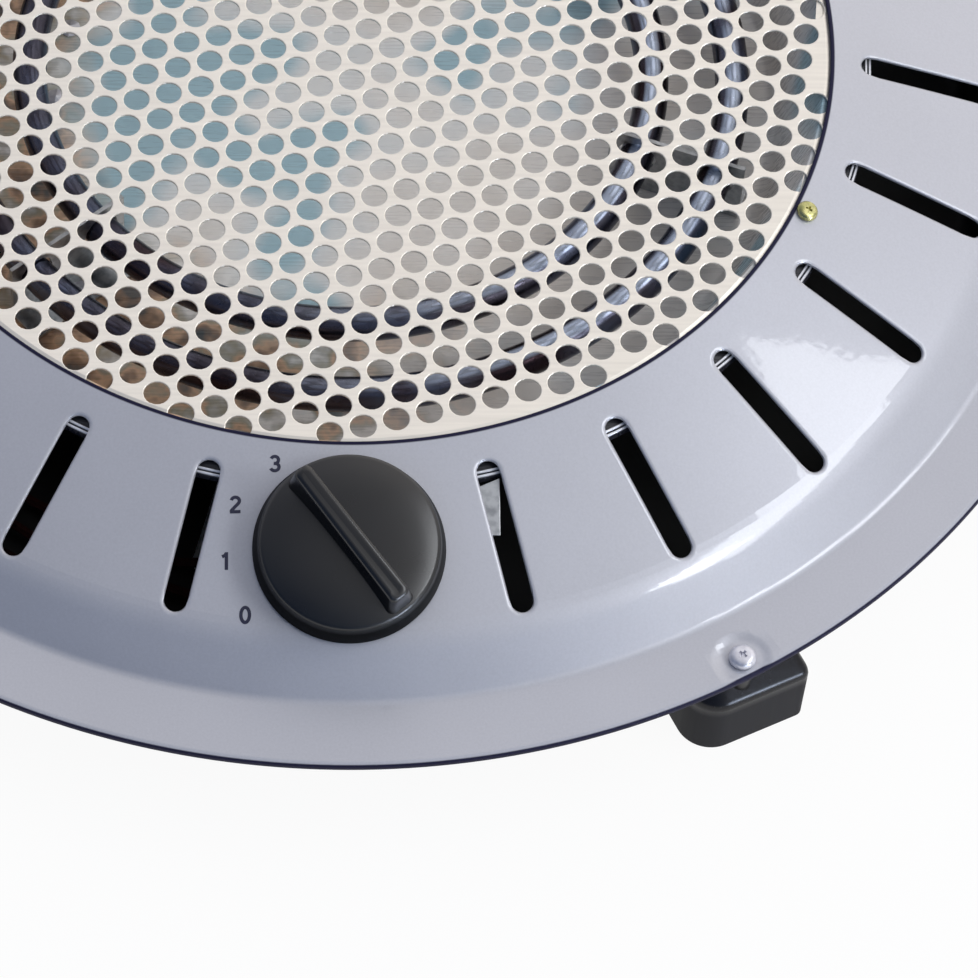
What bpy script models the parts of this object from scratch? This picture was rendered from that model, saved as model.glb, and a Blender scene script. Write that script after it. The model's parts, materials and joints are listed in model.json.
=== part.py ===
"""Electric brazier: a round under-table heater of pressed sheet, with a four-step knob.

Metres, +Z up. The origin is on the heater's axis at the floor, and the knob faces -Y.
Compass angles are measured from -Y towards +X, seen from above.
"""

import math

import bmesh
import bpy
from mathutils import Matrix, Vector

# Fits that every piece shares
SEAT_GAP = 0.0003
CUT_OVERRUN = 0.002
MERGE = 0.00001
FLAT_ANGLE = math.radians(0.5)

# Top ring: flange, lip, shoulder and cone, measured on the upper face
RIM_RADIUS = 0.193
RIM_HEIGHT = 0.030
RING_WIDTH = 0.073
RING_SHEET = 0.0008
LIP_DROP = 0.0022
LIP_BEND = 0.0012
FLANGE_WIDTH = 0.0165
SHOULDER_ANGLE = math.radians(40.0)
SHOULDER_BEND = 0.020
CREASE_BEND = 0.003
CREASE_RADIUS = RIM_RADIUS - FLANGE_WIDTH
OPENING_RADIUS = RIM_RADIUS - RING_WIDTH
RING_RISE = 0.0235
CONE_ANGLE = math.radians(17.0)
RING_SIDES = 50

# Air slots of the ring: the knob takes the place of one
SLOT_PLACES = 25
SLOT_WIDTH = 0.0055
SLOT_INNER_MARGIN = 0.0079
SLOT_OUTER_MARGIN = 0.0133
SLOT_INNER_RADIUS = OPENING_RADIUS + SLOT_INNER_MARGIN
SLOT_OUTER_RADIUS = CREASE_RADIUS - SLOT_OUTER_MARGIN
SLOT_END_STEPS = 3

# Perforated grille: a flat field and a border that follows the cone
GRILLE_SHEET = 0.0006
FIELD_CLEARANCE = 0.0012
FIELD_RADIUS = OPENING_RADIUS - FIELD_CLEARANCE
BORDER_WIDTH = 0.0077
PERFORATION_PITCH = 0.022
PERFORATION_OPEN_SHARE = 0.545
PERFORATION_TURN = math.radians(14.7)
FIRST_HOLE_INSET = 0.0028
FIRST_HOLE_RADIUS = FIELD_RADIUS - FIRST_HOLE_INSET
FIRST_HOLE_COMPASS = math.radians(1.66)
FIELD_MARGIN = 0.0014
GRILLE_SIDES = 50

# Screws that clamp ring, grille and pan together
GRILLE_SCREW_COMPASSES = [math.radians(64.2 + 120.0 * turn) for turn in range(3)]
GRILLE_SCREW_INSET = 0.0032
GRILLE_SCREW_RADIUS = OPENING_RADIUS + GRILLE_SCREW_INSET
GRILLE_SCREW_SHANK = 0.0014
GRILLE_SCREW_HEAD = 0.0026
GRILLE_SCREW_HEAD_HEIGHT = 0.0016
GRILLE_SCREW_REACH = 0.0068
GRILLE_NUT_RADIUS = 0.0029
GRILLE_NUT_HEIGHT = 0.0024

# Reflector pan under the grille
PAN_SHEET = 0.0006
PAN_FLOOR_HEIGHT = 0.025
PAN_MOUTH_CLEARANCE = 0.0013
PAN_WALL_LEAN = 0.0097
PAN_FLANGE_MARGIN = 0.0074
PAN_MOUTH_RADIUS = OPENING_RADIUS - PAN_MOUTH_CLEARANCE
PAN_FLOOR_RADIUS = PAN_MOUTH_RADIUS - PAN_WALL_LEAN
PAN_FLANGE_RADIUS = GRILLE_SCREW_RADIUS + PAN_FLANGE_MARGIN
PAN_LIP_DROP = 0.0016
PAN_BEND = 0.004
PAN_SIDES = 50

# Lower casing
CASING_SHEET = 0.0007
CASING_CLEARANCE = 0.006
CASING_RIM_CLEARANCE = 0.0007
CASING_MOUTH_MARGIN = 0.0033
CASING_WALL_LEAN = 0.0132
CASING_FLANGE_RADIUS = RIM_RADIUS - RING_SHEET - CASING_RIM_CLEARANCE
CASING_MOUTH_RADIUS = CREASE_RADIUS - CASING_MOUTH_MARGIN
CASING_FLOOR_RADIUS = CASING_MOUTH_RADIUS - CASING_WALL_LEAN
CASING_BEND = 0.005
CASING_SIDES = 50
VENT_PLACES = 12
VENT_WIDTH = 0.006
VENT_MARGIN = 0.028
VENT_LENGTH = 0.036
VENT_OUTER_RADIUS = CASING_FLOOR_RADIUS - VENT_MARGIN
VENT_INNER_RADIUS = VENT_OUTER_RADIUS - VENT_LENGTH
VENT_END_STEPS = 3

# Feet, each on one screw through both flanges
FOOT_COMPASSES = [math.radians(29.1 + 120.0 * turn) for turn in range(3)]
FOOT_SCREW_INSET = 0.0047
FOOT_SCREW_RADIUS = RIM_RADIUS - FOOT_SCREW_INSET
FOOT_TWIST = math.radians(4.2)
FOOT_OUTER_REACH = 0.0053
FOOT_INNER_REACH = 0.0125
FOOT_LEFT_REACH = 0.0126
FOOT_RIGHT_REACH = 0.0170
FOOT_LEFT_CORNER = 0.0085
FOOT_CORNER = 0.0022
FOOT_SIDE_HEIGHT = 0.019
FOOT_CROWN_HEIGHT = 0.0055
FOOT_CROWN_WIDTH_SHARE = 0.84
FOOT_CROWN_DEPTH_SHARE = 0.69
FOOT_EDGE = 0.0010
FOOT_BOSS = 0.0034
FOOT_SCREW_SHANK = 0.0014
FOOT_SCREW_HEAD = 0.0032
FOOT_SCREW_HEAD_HEIGHT = 0.0022
FOOT_SCREW_REACH = 0.016

# Heating elements: two sheathed tubes bent to rings, with both ends down through the pan
TUBE_RADIUS = 0.00425
TUBE_HEIGHT = 0.038
ELEMENT_WALL_GAP = 0.012
ELEMENT_PITCH = 0.020
OUTER_ELEMENT_RADIUS = PAN_FLOOR_RADIUS - ELEMENT_WALL_GAP
INNER_ELEMENT_RADIUS = OUTER_ELEMENT_RADIUS - ELEMENT_PITCH
ELEMENT_END_COMPASS = math.radians(230.0)
ELEMENT_END_SPREAD = 0.026
ELEMENT_BEND = 0.009
ELEMENT_BEND_STEPS = 4
ELEMENT_ARC_STEPS = 28
ELEMENT_LEG_END = 0.0175
BUSH_RADIUS = 0.0063
BUSH_COLLAR = 0.0082
BUSH_COLLAR_HEIGHT = 0.003
BUSH_DEPTH = 0.006
PIN_RADIUS = 0.0015
PIN_LENGTH = 0.004

# Element brackets, riveted to the pan's floor
BRACKET_COMPASSES = [math.radians(70.0 + 120.0 * turn) for turn in range(3)]
BRACKET_SHEET = 0.001
BRACKET_WEB = 0.0022
BRACKET_FOOT_WIDTH = 0.009
BRACKET_HOLE_CLEARANCE = 0.0007
RIVET_RADIUS = 0.0015
RIVET_HEAD = 0.0028
RIVET_HEAD_HEIGHT = 0.0009

# Switch and knob, square to the cone at the place of one slot
KNOB_INSET = 0.025
KNOB_RADIAL_PLACE = OPENING_RADIUS + KNOB_INSET
KNOB_LIFT = 0.0008
KNOB_EDGE = 0.0008
KNOB_SKIRT_RADIUS = 0.0225
KNOB_SHOULDER_RADIUS = 0.0208
KNOB_SHOULDER_HEIGHT = 0.0078
KNOB_DOME_HEIGHT = 0.0104
KNOB_DOME_SHARES = [(0.5, 0.95), (0.82, 0.86)]
KNOB_ROUND_DEPTH_SHARE = 0.67
KNOB_ROUND_HEIGHT_SHARE = 0.8
KNOB_WALL = 0.0022
KNOB_ROOF = 0.0024
KNOB_HUB_RADIUS = 0.0056
KNOB_SIDES = 32
RIB_LENGTH = 0.0404
RIB_WIDTH = 0.0092
RIB_HEIGHT = 0.0182
RIB_TOP_LENGTH_SHARE = 0.93
RIB_TOP_WIDTH_SHARE = 0.62
RIB_EDGE = 0.0009
DIAL_FIRST_ANGLE = math.radians(38.0)
SHAFT_RADIUS = 0.003
SHAFT_TOP = 0.0098
SHAFT_FLAT_DEPTH = 0.0012
SHAFT_END = 0.014
BUSH_THREAD_RADIUS = 0.0047
BUSH_THREAD_TOP = 0.003
SWITCH_NUT_RADIUS = 0.0075
SWITCH_NUT_HEIGHT = 0.0020
SPACER_RADIUS = 0.0085
SWITCH_WIDTH = 0.0236
SWITCH_HEIGHT = 0.016
SWITCH_EDGE = 0.0012
TAB_WIDTH = 0.0048
TAB_THICKNESS = 0.0008
TAB_LENGTH = 0.006
TAB_OFFSET = 0.0075

# Heat shield of the switch: a plate under the ring with a wall towards the pan
SHIELD_SHEET = 0.0007
SHIELD_DEPTH = 0.003
SHIELD_HALF_WIDTH = 0.0155
SHIELD_LUG_REACH = 0.0356
SHIELD_LUG_EDGE = 0.0054
SHIELD_WALL_PLACE = 0.0130
SHIELD_WALL_HEIGHT = 0.018
SHIELD_OUTER_EDGE = 0.014

# Thermal cut-out under the pan's floor
CUTOUT_COMPASS = math.radians(262.0)
CUTOUT_INSET = 0.007
CUTOUT_RADIAL_PLACE = INNER_ELEMENT_RADIUS - CUTOUT_INSET
CUTOUT_RADIUS = 0.0078
CUTOUT_HEIGHT = 0.006
CLIP_LENGTH = 0.028
CLIP_WIDTH = 0.0056
CLIP_SHEET = 0.0008
CLIP_SCREW_REACH = 0.011

# Terminal block, cord gland and earth screw at the back
BLOCK_COMPASS = math.radians(196.0)
BLOCK_INSET = 0.022
BLOCK_RADIAL_PLACE = CASING_FLOOR_RADIUS - BLOCK_INSET
BLOCK_LENGTH = 0.033
BLOCK_WIDTH = 0.016
BLOCK_HEIGHT = 0.011
BLOCK_EDGE = 0.001
BLOCK_WAYS = 4
BLOCK_WAY_PITCH = 0.0076
BLOCK_WAY_RADIUS = 0.0018
BLOCK_WAY_DEPTH = 0.006
BLOCK_WAY_OFFSET = 0.003
BLOCK_SCREW_OFFSET = 0.004
BLOCK_SCREW_SHANK = 0.0014
BLOCK_SCREW_HEAD = 0.0028
BLOCK_SCREW_HEAD_HEIGHT = 0.0018
BLOCK_SCREW_REACH = 0.008
GLAND_COMPASS = math.radians(196.0)
GLAND_HEIGHT = 0.0165
GLAND_NECK = 0.0058
GLAND_COLLAR = 0.0080
GLAND_COLLAR_WIDTH = 0.002
GLAND_NOZZLE = 0.0052
GLAND_NOZZLE_LENGTH = 0.006
GLAND_BORE = 0.0034
EARTH_COMPASS = math.radians(176.0)
EARTH_INSET = 0.020
EARTH_RADIAL_PLACE = CASING_FLOOR_RADIUS - EARTH_INSET
EARTH_SCREW_SHANK = 0.002
EARTH_SCREW_HEAD = 0.0038
EARTH_SCREW_HEAD_HEIGHT = 0.0024
EARTH_SCREW_REACH = 0.0021

# Internal wires, which run round the casing's floor in lanes
WIRE_RADIUS = 0.0012
WIRE_HEIGHT = 0.0112
WIRE_LANE_INSET = 0.0105
WIRE_LANE_PITCH = 0.008
WIRE_LANE_RADIUS = CASING_FLOOR_RADIUS - WIRE_LANE_INSET
WIRE_BAY_RADIUS = BLOCK_RADIAL_PLACE - BLOCK_WIDTH
WIRE_STRAIGHT = 0.003
LANE_COMPASSES = [(290.0, 308.0, 326.0, 343.0), (346.0, 328.0, 310.0, 292.0, 274.0),
                  (352.0, 334.0, 316.0, 298.0, 280.0, 262.0)]
LINE_WIRE_COMPASSES = [206.0, 224.0, 245.0]
LINE_WIRE_SHARES = [1.15, 0.80, 0.72]
OUTER_BEND_SHARE = 1.12
FEED_BEND_SHARE = 1.1
EARTH_BEND_SHARE = 1.03

# Small round pieces
SCREW_SIDES = 8
SMALL_SIDES = 12
SCREW_CROWN_SHARE = 0.72


def compass(angle, radius, height):
    """The point at a compass angle from -Y towards +X."""
    return Vector((radius * math.sin(angle), -radius * math.cos(angle), height))


def compass_frame(angle, radius, height):
    """A frame at a compass place: X along the rim, Y inwards, Z up."""
    return Matrix.Translation(compass(angle, radius, height)) @ Matrix.Rotation(angle, 4, "Z")


def cone_height(radius):
    """The height of the cone's upper face above the floor."""
    return RIM_HEIGHT + RING_RISE - (radius - OPENING_RADIUS) * math.tan(CONE_ANGLE)


def below_cone(radius, depth):
    """The height of a face that lies a square depth under the cone's upper face."""
    return cone_height(radius) - depth / math.cos(CONE_ANGLE)


def cone_frame(angle, radius):
    """A frame on the cone's upper face: X along the rim, Y up the slope, Z square out of it."""
    return compass_frame(angle, radius, cone_height(radius)) @ Matrix.Rotation(CONE_ANGLE, 4, "X")


def collection(name):
    made = bpy.data.collections.new(name)
    bpy.context.scene.collection.children.link(made)
    return made


def start_scene():
    for old in list(bpy.data.objects):
        bpy.data.objects.remove(old, do_unlink=True)
    return collection("electric_brazier"), collection("cutters")


PARTS, CUTTERS = start_scene()


def material(name, color, roughness, metallic):
    made = bpy.data.materials.new(name)
    made.use_nodes = True
    shader = made.node_tree.nodes["Principled BSDF"]
    shader.inputs["Base Color"].default_value = (*color, 1.0)
    shader.inputs["Roughness"].default_value = roughness
    shader.inputs["Metallic"].default_value = metallic
    return made


SILVER_PAINT = material("silver_grey_paint", (0.44, 0.46, 0.52), 0.25, 0.3)
NICKEL_SHEET = material("nickel_plated_sheet", (0.80, 0.76, 0.70), 0.30, 1.0)
BRIGHT_ALUMINIUM = material("bright_aluminium_sheet", (0.72, 0.72, 0.72), 0.28, 1.0)
BLACK_STEEL = material("black_painted_steel", (0.015, 0.015, 0.016), 0.5, 0.0)
BLACK_ABS = material("black_moulded_plastic", (0.012, 0.012, 0.013), 0.4, 0.0)
TUBE_STEEL = material("oxidised_sheath_steel", (0.05, 0.05, 0.07), 0.2, 1.0)
ZINC = material("bright_zinc", (0.72, 0.73, 0.75), 0.3, 1.0)
YELLOW_ZINC = material("yellow_passivated_zinc", (0.62, 0.55, 0.28), 0.35, 1.0)
STEATITE = material("steatite_ceramic", (0.80, 0.78, 0.70), 0.5, 0.0)
BRASS = material("brass", (0.70, 0.52, 0.25), 0.35, 1.0)
PHENOLIC = material("brown_phenolic", (0.09, 0.05, 0.03), 0.5, 0.0)
NYLON = material("white_nylon", (0.75, 0.75, 0.72), 0.5, 0.0)
GALVANISED = material("galvanised_sheet", (0.62, 0.63, 0.64), 0.4, 1.0)
WIRE_RED = material("red_silicone_wire", (0.35, 0.02, 0.015), 0.5, 0.0)
WIRE_BLUE = material("blue_silicone_wire", (0.02, 0.06, 0.30), 0.5, 0.0)
WIRE_GREEN = material("green_silicone_wire", (0.03, 0.22, 0.05), 0.5, 0.0)


def add(name, mesh, finish, frame=Matrix()):
    """A part with one mesh, one material and its own frame."""
    part = bpy.data.objects.new(name, mesh)
    part.matrix_world = frame
    if finish is not None:
        mesh.materials.append(finish)
        PARTS.objects.link(part)
    else:
        CUTTERS.objects.link(part)
        part.hide_render = True
        part.display_type = "WIRE"
    return part


def mesh_of(shape, name):
    mesh = bpy.data.meshes.new(name)
    shape.to_mesh(mesh)
    shape.free()
    return mesh


def smooth(part, limit=math.radians(35.0)):
    part.data.shade_smooth()
    part.data.set_sharp_from_angle(angle=limit)
    return part


def boolean(part, tool, operation):
    step = part.modifiers.new(operation.lower(), "BOOLEAN")
    step.operation = operation
    step.solver = "EXACT"
    step.object = tool
    return part


def bevel(part, width, segments=1):
    step = part.modifiers.new("edge", "BEVEL")
    step.width = width
    step.segments = segments
    step.limit_method = "ANGLE"
    step.angle_limit = math.radians(40.0)
    return part


def rounded_path(points, bends):
    """A path whose corners are arcs, with a (radius, steps) pair for each but the two ends."""
    path = [Vector(points[0])]
    for before, corner, after, (radius, steps) in zip(points, points[1:], points[2:], bends):
        corner = Vector(corner)
        if steps == 0:
            path.append(corner)
            continue
        back = (Vector(before) - corner).normalized()
        on = (Vector(after) - corner).normalized()
        half = back.angle(on) / 2.0
        centre = corner + (back + on).normalized() * (radius / math.sin(half))
        start = corner + back * (radius / math.tan(half)) - centre
        end = corner + on * (radius / math.tan(half)) - centre
        swing = start.angle(end)
        for step in range(steps + 1):
            share = step / steps
            spoke = start * math.sin((1.0 - share) * swing) + end * math.sin(share * swing)
            path.append(centre + spoke / math.sin(swing))
    path.append(Vector(points[-1]))
    return path


def turned(name, profile, sides, finish, frame=Matrix(), closed=False):
    """A turned shape. The (radius, height) points run down its outer side, top to bottom."""
    shape = bmesh.new()
    line = [shape.verts.new((radius, 0.0, height)) for radius, height in profile]
    for first, second in zip(line, line[1:]):
        shape.edges.new((first, second))
    if closed:
        shape.edges.new((line[-1], line[0]))
    part = add(name, mesh_of(shape, name), finish, frame)
    spin = part.modifiers.new("turn", "SCREW")
    spin.steps = spin.render_steps = sides
    spin.use_merge_vertices = True
    spin.merge_threshold = MERGE
    return part


def turned_sheet(name, profile, thickness, sides, finish):
    """A pressed sheet: an open turned surface with its metal behind it.

    Points that run outwards are on its upper face, and points that run inwards on its lower face.
    """
    part = turned(name, profile, sides, finish)
    flat = part.modifiers.new("flat", "DECIMATE")
    flat.decimate_type = "DISSOLVE"
    flat.angle_limit = FLAT_ANGLE
    wall = part.modifiers.new("sheet", "SOLIDIFY")
    wall.thickness = thickness
    wall.offset = -1.0
    wall.use_even_offset = True
    return part


def plate(name, outlines, thickness, finish, frame=Matrix()):
    """A flat plate, or a set of them, from outlines in its own XY plane, centred on it."""
    curve = bpy.data.curves.new(name, "CURVE")
    curve.dimensions = "2D"
    curve.fill_mode = "BOTH"
    curve.extrude = thickness / 2.0
    for outline in outlines:
        spline = curve.splines.new("POLY")
        spline.points.add(len(outline) - 1)
        for point, place in zip(spline.points, outline):
            point.co = (place[0], place[1], 0.0, 1.0)
        spline.use_cyclic_u = True
    drawn = bpy.data.objects.new(name, curve)
    CUTTERS.objects.link(drawn)
    evaluated = drawn.evaluated_get(bpy.context.evaluated_depsgraph_get())
    flat = bpy.data.meshes.new_from_object(evaluated)
    bpy.data.objects.remove(drawn, do_unlink=True)
    shape = bmesh.new()
    shape.from_mesh(flat)
    bmesh.ops.remove_doubles(shape, verts=shape.verts, dist=MERGE)
    bmesh.ops.recalc_face_normals(shape, faces=shape.faces)
    shape.to_mesh(flat)
    shape.free()
    flat.name = name
    return add(name, flat, finish, frame)


def box(name, size, finish, frame=Matrix()):
    """A box with its middle at its frame's origin."""
    shape = bmesh.new()
    bmesh.ops.create_cube(shape, size=1.0)
    bmesh.ops.scale(shape, vec=size, verts=shape.verts)
    return add(name, mesh_of(shape, name), finish, frame)


def rod(name, radius, low, high, sides, finish, frame=Matrix()):
    """A plain cylinder between two heights of its frame."""
    shape = bmesh.new()
    bmesh.ops.create_cone(
        shape, cap_ends=True, segments=sides, radius1=radius, radius2=radius, depth=high - low
    )
    bmesh.ops.translate(shape, verts=shape.verts, vec=(0.0, 0.0, (high + low) / 2.0))
    return add(name, mesh_of(shape, name), finish, frame)


def tube(name, points, radius, finish, resolution):
    """A round tube or wire along points."""
    curve = bpy.data.curves.new(name, "CURVE")
    curve.dimensions = "3D"
    curve.bevel_depth = radius
    curve.bevel_resolution = resolution
    curve.use_fill_caps = True
    spline = curve.splines.new("POLY")
    spline.points.add(len(points) - 1)
    for point, place in zip(spline.points, points):
        point.co = (*place, 1.0)
    curve.materials.append(finish)
    part = bpy.data.objects.new(name, curve)
    PARTS.objects.link(part)
    return part


def circle(radius, sides, centre=(0.0, 0.0), turn=0.0):
    """A many-sided outline round a centre."""
    return [
        (
            centre[0] + radius * math.cos(turn + math.tau * side / sides),
            centre[1] + radius * math.sin(turn + math.tau * side / sides),
        )
        for side in range(sides)
    ]


def radial_slot(angle, inner, outer, width, steps):
    """The outline of a round-ended slot along a compass direction."""
    half = width / 2.0
    outline = []
    for centre, start in ((outer - half, -math.pi / 2.0), (inner + half, math.pi / 2.0)):
        for step in range(steps + 1):
            swing = start + math.pi * step / steps
            along, across = centre + half * math.cos(swing), half * math.sin(swing)
            outline.append(
                (
                    along * math.sin(angle) + across * math.cos(angle),
                    -along * math.cos(angle) + across * math.sin(angle),
                )
            )
    return outline


def screw(name, frame, shank, head, head_height, reach, finish):
    """A pan-head screw whose head rests a seat gap above its frame's origin."""
    crown = head_height + SEAT_GAP
    brim = SEAT_GAP + head_height / 2.0
    profile = [
        (0.0, crown),
        (head * SCREW_CROWN_SHARE, crown),
        (head, brim),
        (head, SEAT_GAP),
        (shank, SEAT_GAP),
        (shank, SEAT_GAP - reach),
        (0.0, SEAT_GAP - reach),
    ]
    return turned(name, profile, SCREW_SIDES, finish, frame)


def drill(part, name, frame, radius, low, high, sides=SMALL_SIDES):
    """A round hole through a part, between two heights of a frame."""
    return boolean(part, rod(name, radius, low, high, sides, None, frame), "DIFFERENCE")


def ring_profile():
    """The upper face of the ring, from the opening to the lip."""
    steep = math.tan(SHOULDER_ANGLE)
    gentle = math.tan(CONE_ANGLE)
    knee = (CREASE_RADIUS * steep - OPENING_RADIUS * gentle - RING_RISE) / (steep - gentle)
    corners = [
        (OPENING_RADIUS, cone_height(OPENING_RADIUS)),
        (knee, cone_height(knee)),
        (CREASE_RADIUS, RIM_HEIGHT),
        (RIM_RADIUS, RIM_HEIGHT),
        (RIM_RADIUS, RIM_HEIGHT - LIP_DROP),
    ]
    return rounded_path(corners, [(SHOULDER_BEND, 2), (CREASE_BEND, 1), (LIP_BEND, 1)])


def make_top_ring():
    ring = turned_sheet("top_ring", ring_profile(), RING_SHEET, RING_SIDES, SILVER_PAINT)
    slots = [
        radial_slot(
            math.tau * place / SLOT_PLACES, SLOT_INNER_RADIUS, SLOT_OUTER_RADIUS, SLOT_WIDTH, SLOT_END_STEPS
        )
        for place in range(1, SLOT_PLACES)
    ]
    depth = RING_RISE + CUT_OVERRUN
    middle = Matrix.Translation((0.0, 0.0, RIM_HEIGHT + RING_RISE / 2.0))
    boolean(ring, plate("slot_cutter", slots, depth, None, middle), "DIFFERENCE")
    for number, angle in enumerate(GRILLE_SCREW_COMPASSES, 1):
        frame = cone_frame(angle, GRILLE_SCREW_RADIUS)
        hole = GRILLE_SCREW_SHANK + SEAT_GAP
        drill(ring, f"ring_screw_hole_{number}", frame, hole, -RING_SHEET - CUT_OVERRUN, CUT_OVERRUN)
    for number, angle in enumerate(FOOT_COMPASSES, 1):
        frame = compass_frame(angle, FOOT_SCREW_RADIUS, RIM_HEIGHT)
        hole = FOOT_SCREW_SHANK + SEAT_GAP
        drill(ring, f"ring_foot_hole_{number}", frame, hole, -RING_SHEET - CUT_OVERRUN, CUT_OVERRUN)
    hole = BUSH_THREAD_RADIUS + SEAT_GAP
    drill(ring, "ring_bush_hole", knob_frame(), hole, -RING_SHEET - CUT_OVERRUN, CUT_OVERRUN)
    return ring


def grille_depth():
    """How deep the grille's border lies under the cone's upper face, square to it."""
    return RING_SHEET + SEAT_GAP


def field_height():
    return below_cone(FIELD_RADIUS, grille_depth())


def perforations():
    """The outlines of the field's holes, six-sided, on a lattice that starts at one hole."""
    area = PERFORATION_OPEN_SHARE * math.sqrt(3.0) / 2.0 * PERFORATION_PITCH**2
    radius = math.sqrt(area / (1.5 * math.sqrt(3.0)))
    first = compass(FIRST_HOLE_COMPASS, FIRST_HOLE_RADIUS, 0.0)
    along = Vector((math.cos(PERFORATION_TURN), math.sin(PERFORATION_TURN), 0.0)) * PERFORATION_PITCH
    slant = Matrix.Rotation(math.radians(60.0), 3, "Z") @ along
    reach = math.ceil(2.0 * FIELD_RADIUS / PERFORATION_PITCH) + 1
    outlines = []
    for row in range(-reach, reach + 1):
        for column in range(-2 * reach, 2 * reach + 1):
            centre = first + slant * row + along * column
            if centre.length + radius + FIELD_MARGIN < FIELD_RADIUS:
                outlines.append(circle(radius, 6, centre, PERFORATION_TURN + math.radians(30.0)))
    return outlines


def make_grille():
    border = FIELD_RADIUS + BORDER_WIDTH
    field = field_height()
    profile = [(0.0, field), (FIELD_RADIUS, field), (border, below_cone(border, grille_depth()))]
    grille = turned_sheet("grille", profile, GRILLE_SHEET, GRILLE_SIDES, NICKEL_SHEET)
    middle = Matrix.Translation((0.0, 0.0, field_height()))
    cutter = plate("perforation_cutter", perforations(), CUT_OVERRUN * 2.0, None, middle)
    boolean(grille, cutter, "DIFFERENCE")
    for number, angle in enumerate(GRILLE_SCREW_COMPASSES, 1):
        frame = cone_frame(angle, GRILLE_SCREW_RADIUS)
        low = -grille_depth() - GRILLE_SHEET - CUT_OVERRUN
        drill(grille, f"grille_screw_hole_{number}", frame, GRILLE_SCREW_SHANK + SEAT_GAP, low, CUT_OVERRUN)
    return grille


def pan_depth():
    """How deep the pan's flange lies under the cone's upper face, square to it."""
    return grille_depth() + GRILLE_SHEET + SEAT_GAP


def element_ends(radius):
    """The compass angles of an element's two legs."""
    spread = math.asin(ELEMENT_END_SPREAD / 2.0 / radius)
    return ELEMENT_END_COMPASS - spread, ELEMENT_END_COMPASS + spread


def element_legs():
    """The name, compass angle and radius of all four legs."""
    legs = []
    for name, radius in (("inner", INNER_ELEMENT_RADIUS), ("outer", OUTER_ELEMENT_RADIUS)):
        for side, angle in zip("ab", element_ends(radius)):
            legs.append((f"{name}_{side}", angle, radius))
    return legs


def rivet_radius_place():
    return (INNER_ELEMENT_RADIUS + OUTER_ELEMENT_RADIUS) / 2.0


def make_reflector_pan():
    corners = [
        (0.0, PAN_FLOOR_HEIGHT),
        (PAN_FLOOR_RADIUS, PAN_FLOOR_HEIGHT),
        (PAN_MOUTH_RADIUS, below_cone(PAN_MOUTH_RADIUS, pan_depth())),
        (PAN_FLANGE_RADIUS, below_cone(PAN_FLANGE_RADIUS, pan_depth())),
        (PAN_FLANGE_RADIUS, below_cone(PAN_FLANGE_RADIUS, pan_depth()) - PAN_LIP_DROP),
    ]
    profile = rounded_path(corners, [(PAN_BEND, 1), (PAN_SHEET, 0), (PAN_SHEET, 0)])
    pan = turned_sheet("reflector_pan", profile, PAN_SHEET, PAN_SIDES, BRIGHT_ALUMINIUM)
    low, high = PAN_FLOOR_HEIGHT - PAN_SHEET - CUT_OVERRUN, PAN_FLOOR_HEIGHT + CUT_OVERRUN
    for name, angle, radius in element_legs():
        frame = compass_frame(angle, radius, 0.0)
        drill(pan, f"pan_bush_hole_{name}", frame, BUSH_RADIUS + SEAT_GAP, low, high)
    for number, angle in enumerate(BRACKET_COMPASSES, 1):
        frame = compass_frame(angle, rivet_radius_place(), 0.0) @ rivet_shift()
        drill(pan, f"pan_rivet_hole_{number}", frame, RIVET_RADIUS + SEAT_GAP, low, high, SCREW_SIDES)
    for number, frame in enumerate(clip_screw_frames(), 1):
        hole = RIVET_RADIUS + SEAT_GAP
        drill(pan, f"pan_clip_hole_{number}", frame, hole, -CUT_OVERRUN, CUT_OVERRUN, SCREW_SIDES)
    for number, angle in enumerate(GRILLE_SCREW_COMPASSES, 1):
        frame = cone_frame(angle, GRILLE_SCREW_RADIUS)
        low = -pan_depth() - PAN_SHEET - CUT_OVERRUN
        drill(pan, f"pan_screw_hole_{number}", frame, GRILLE_SCREW_SHANK + SEAT_GAP, low, CUT_OVERRUN)
    return pan


def make_grille_screws():
    for number, angle in enumerate(GRILLE_SCREW_COMPASSES, 1):
        frame = cone_frame(angle, GRILLE_SCREW_RADIUS)
        screw(
            f"grille_screw_{number}", frame, GRILLE_SCREW_SHANK, GRILLE_SCREW_HEAD,
            GRILLE_SCREW_HEAD_HEIGHT, GRILLE_SCREW_REACH, YELLOW_ZINC,
        )
        top = -pan_depth() - PAN_SHEET - SEAT_GAP
        bottom = top - GRILLE_NUT_HEIGHT
        bore = GRILLE_SCREW_SHANK + SEAT_GAP
        nut = rod(f"grille_nut_{number}", GRILLE_NUT_RADIUS, bottom, top, 6, ZINC, frame)
        drill(nut, f"grille_nut_bore_{number}", frame, bore, bottom - CUT_OVERRUN, top + CUT_OVERRUN)


def casing_flange_height():
    """The underside of the casing's flange, which lies under the ring's."""
    return RIM_HEIGHT - RING_SHEET - SEAT_GAP - CASING_SHEET


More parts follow.
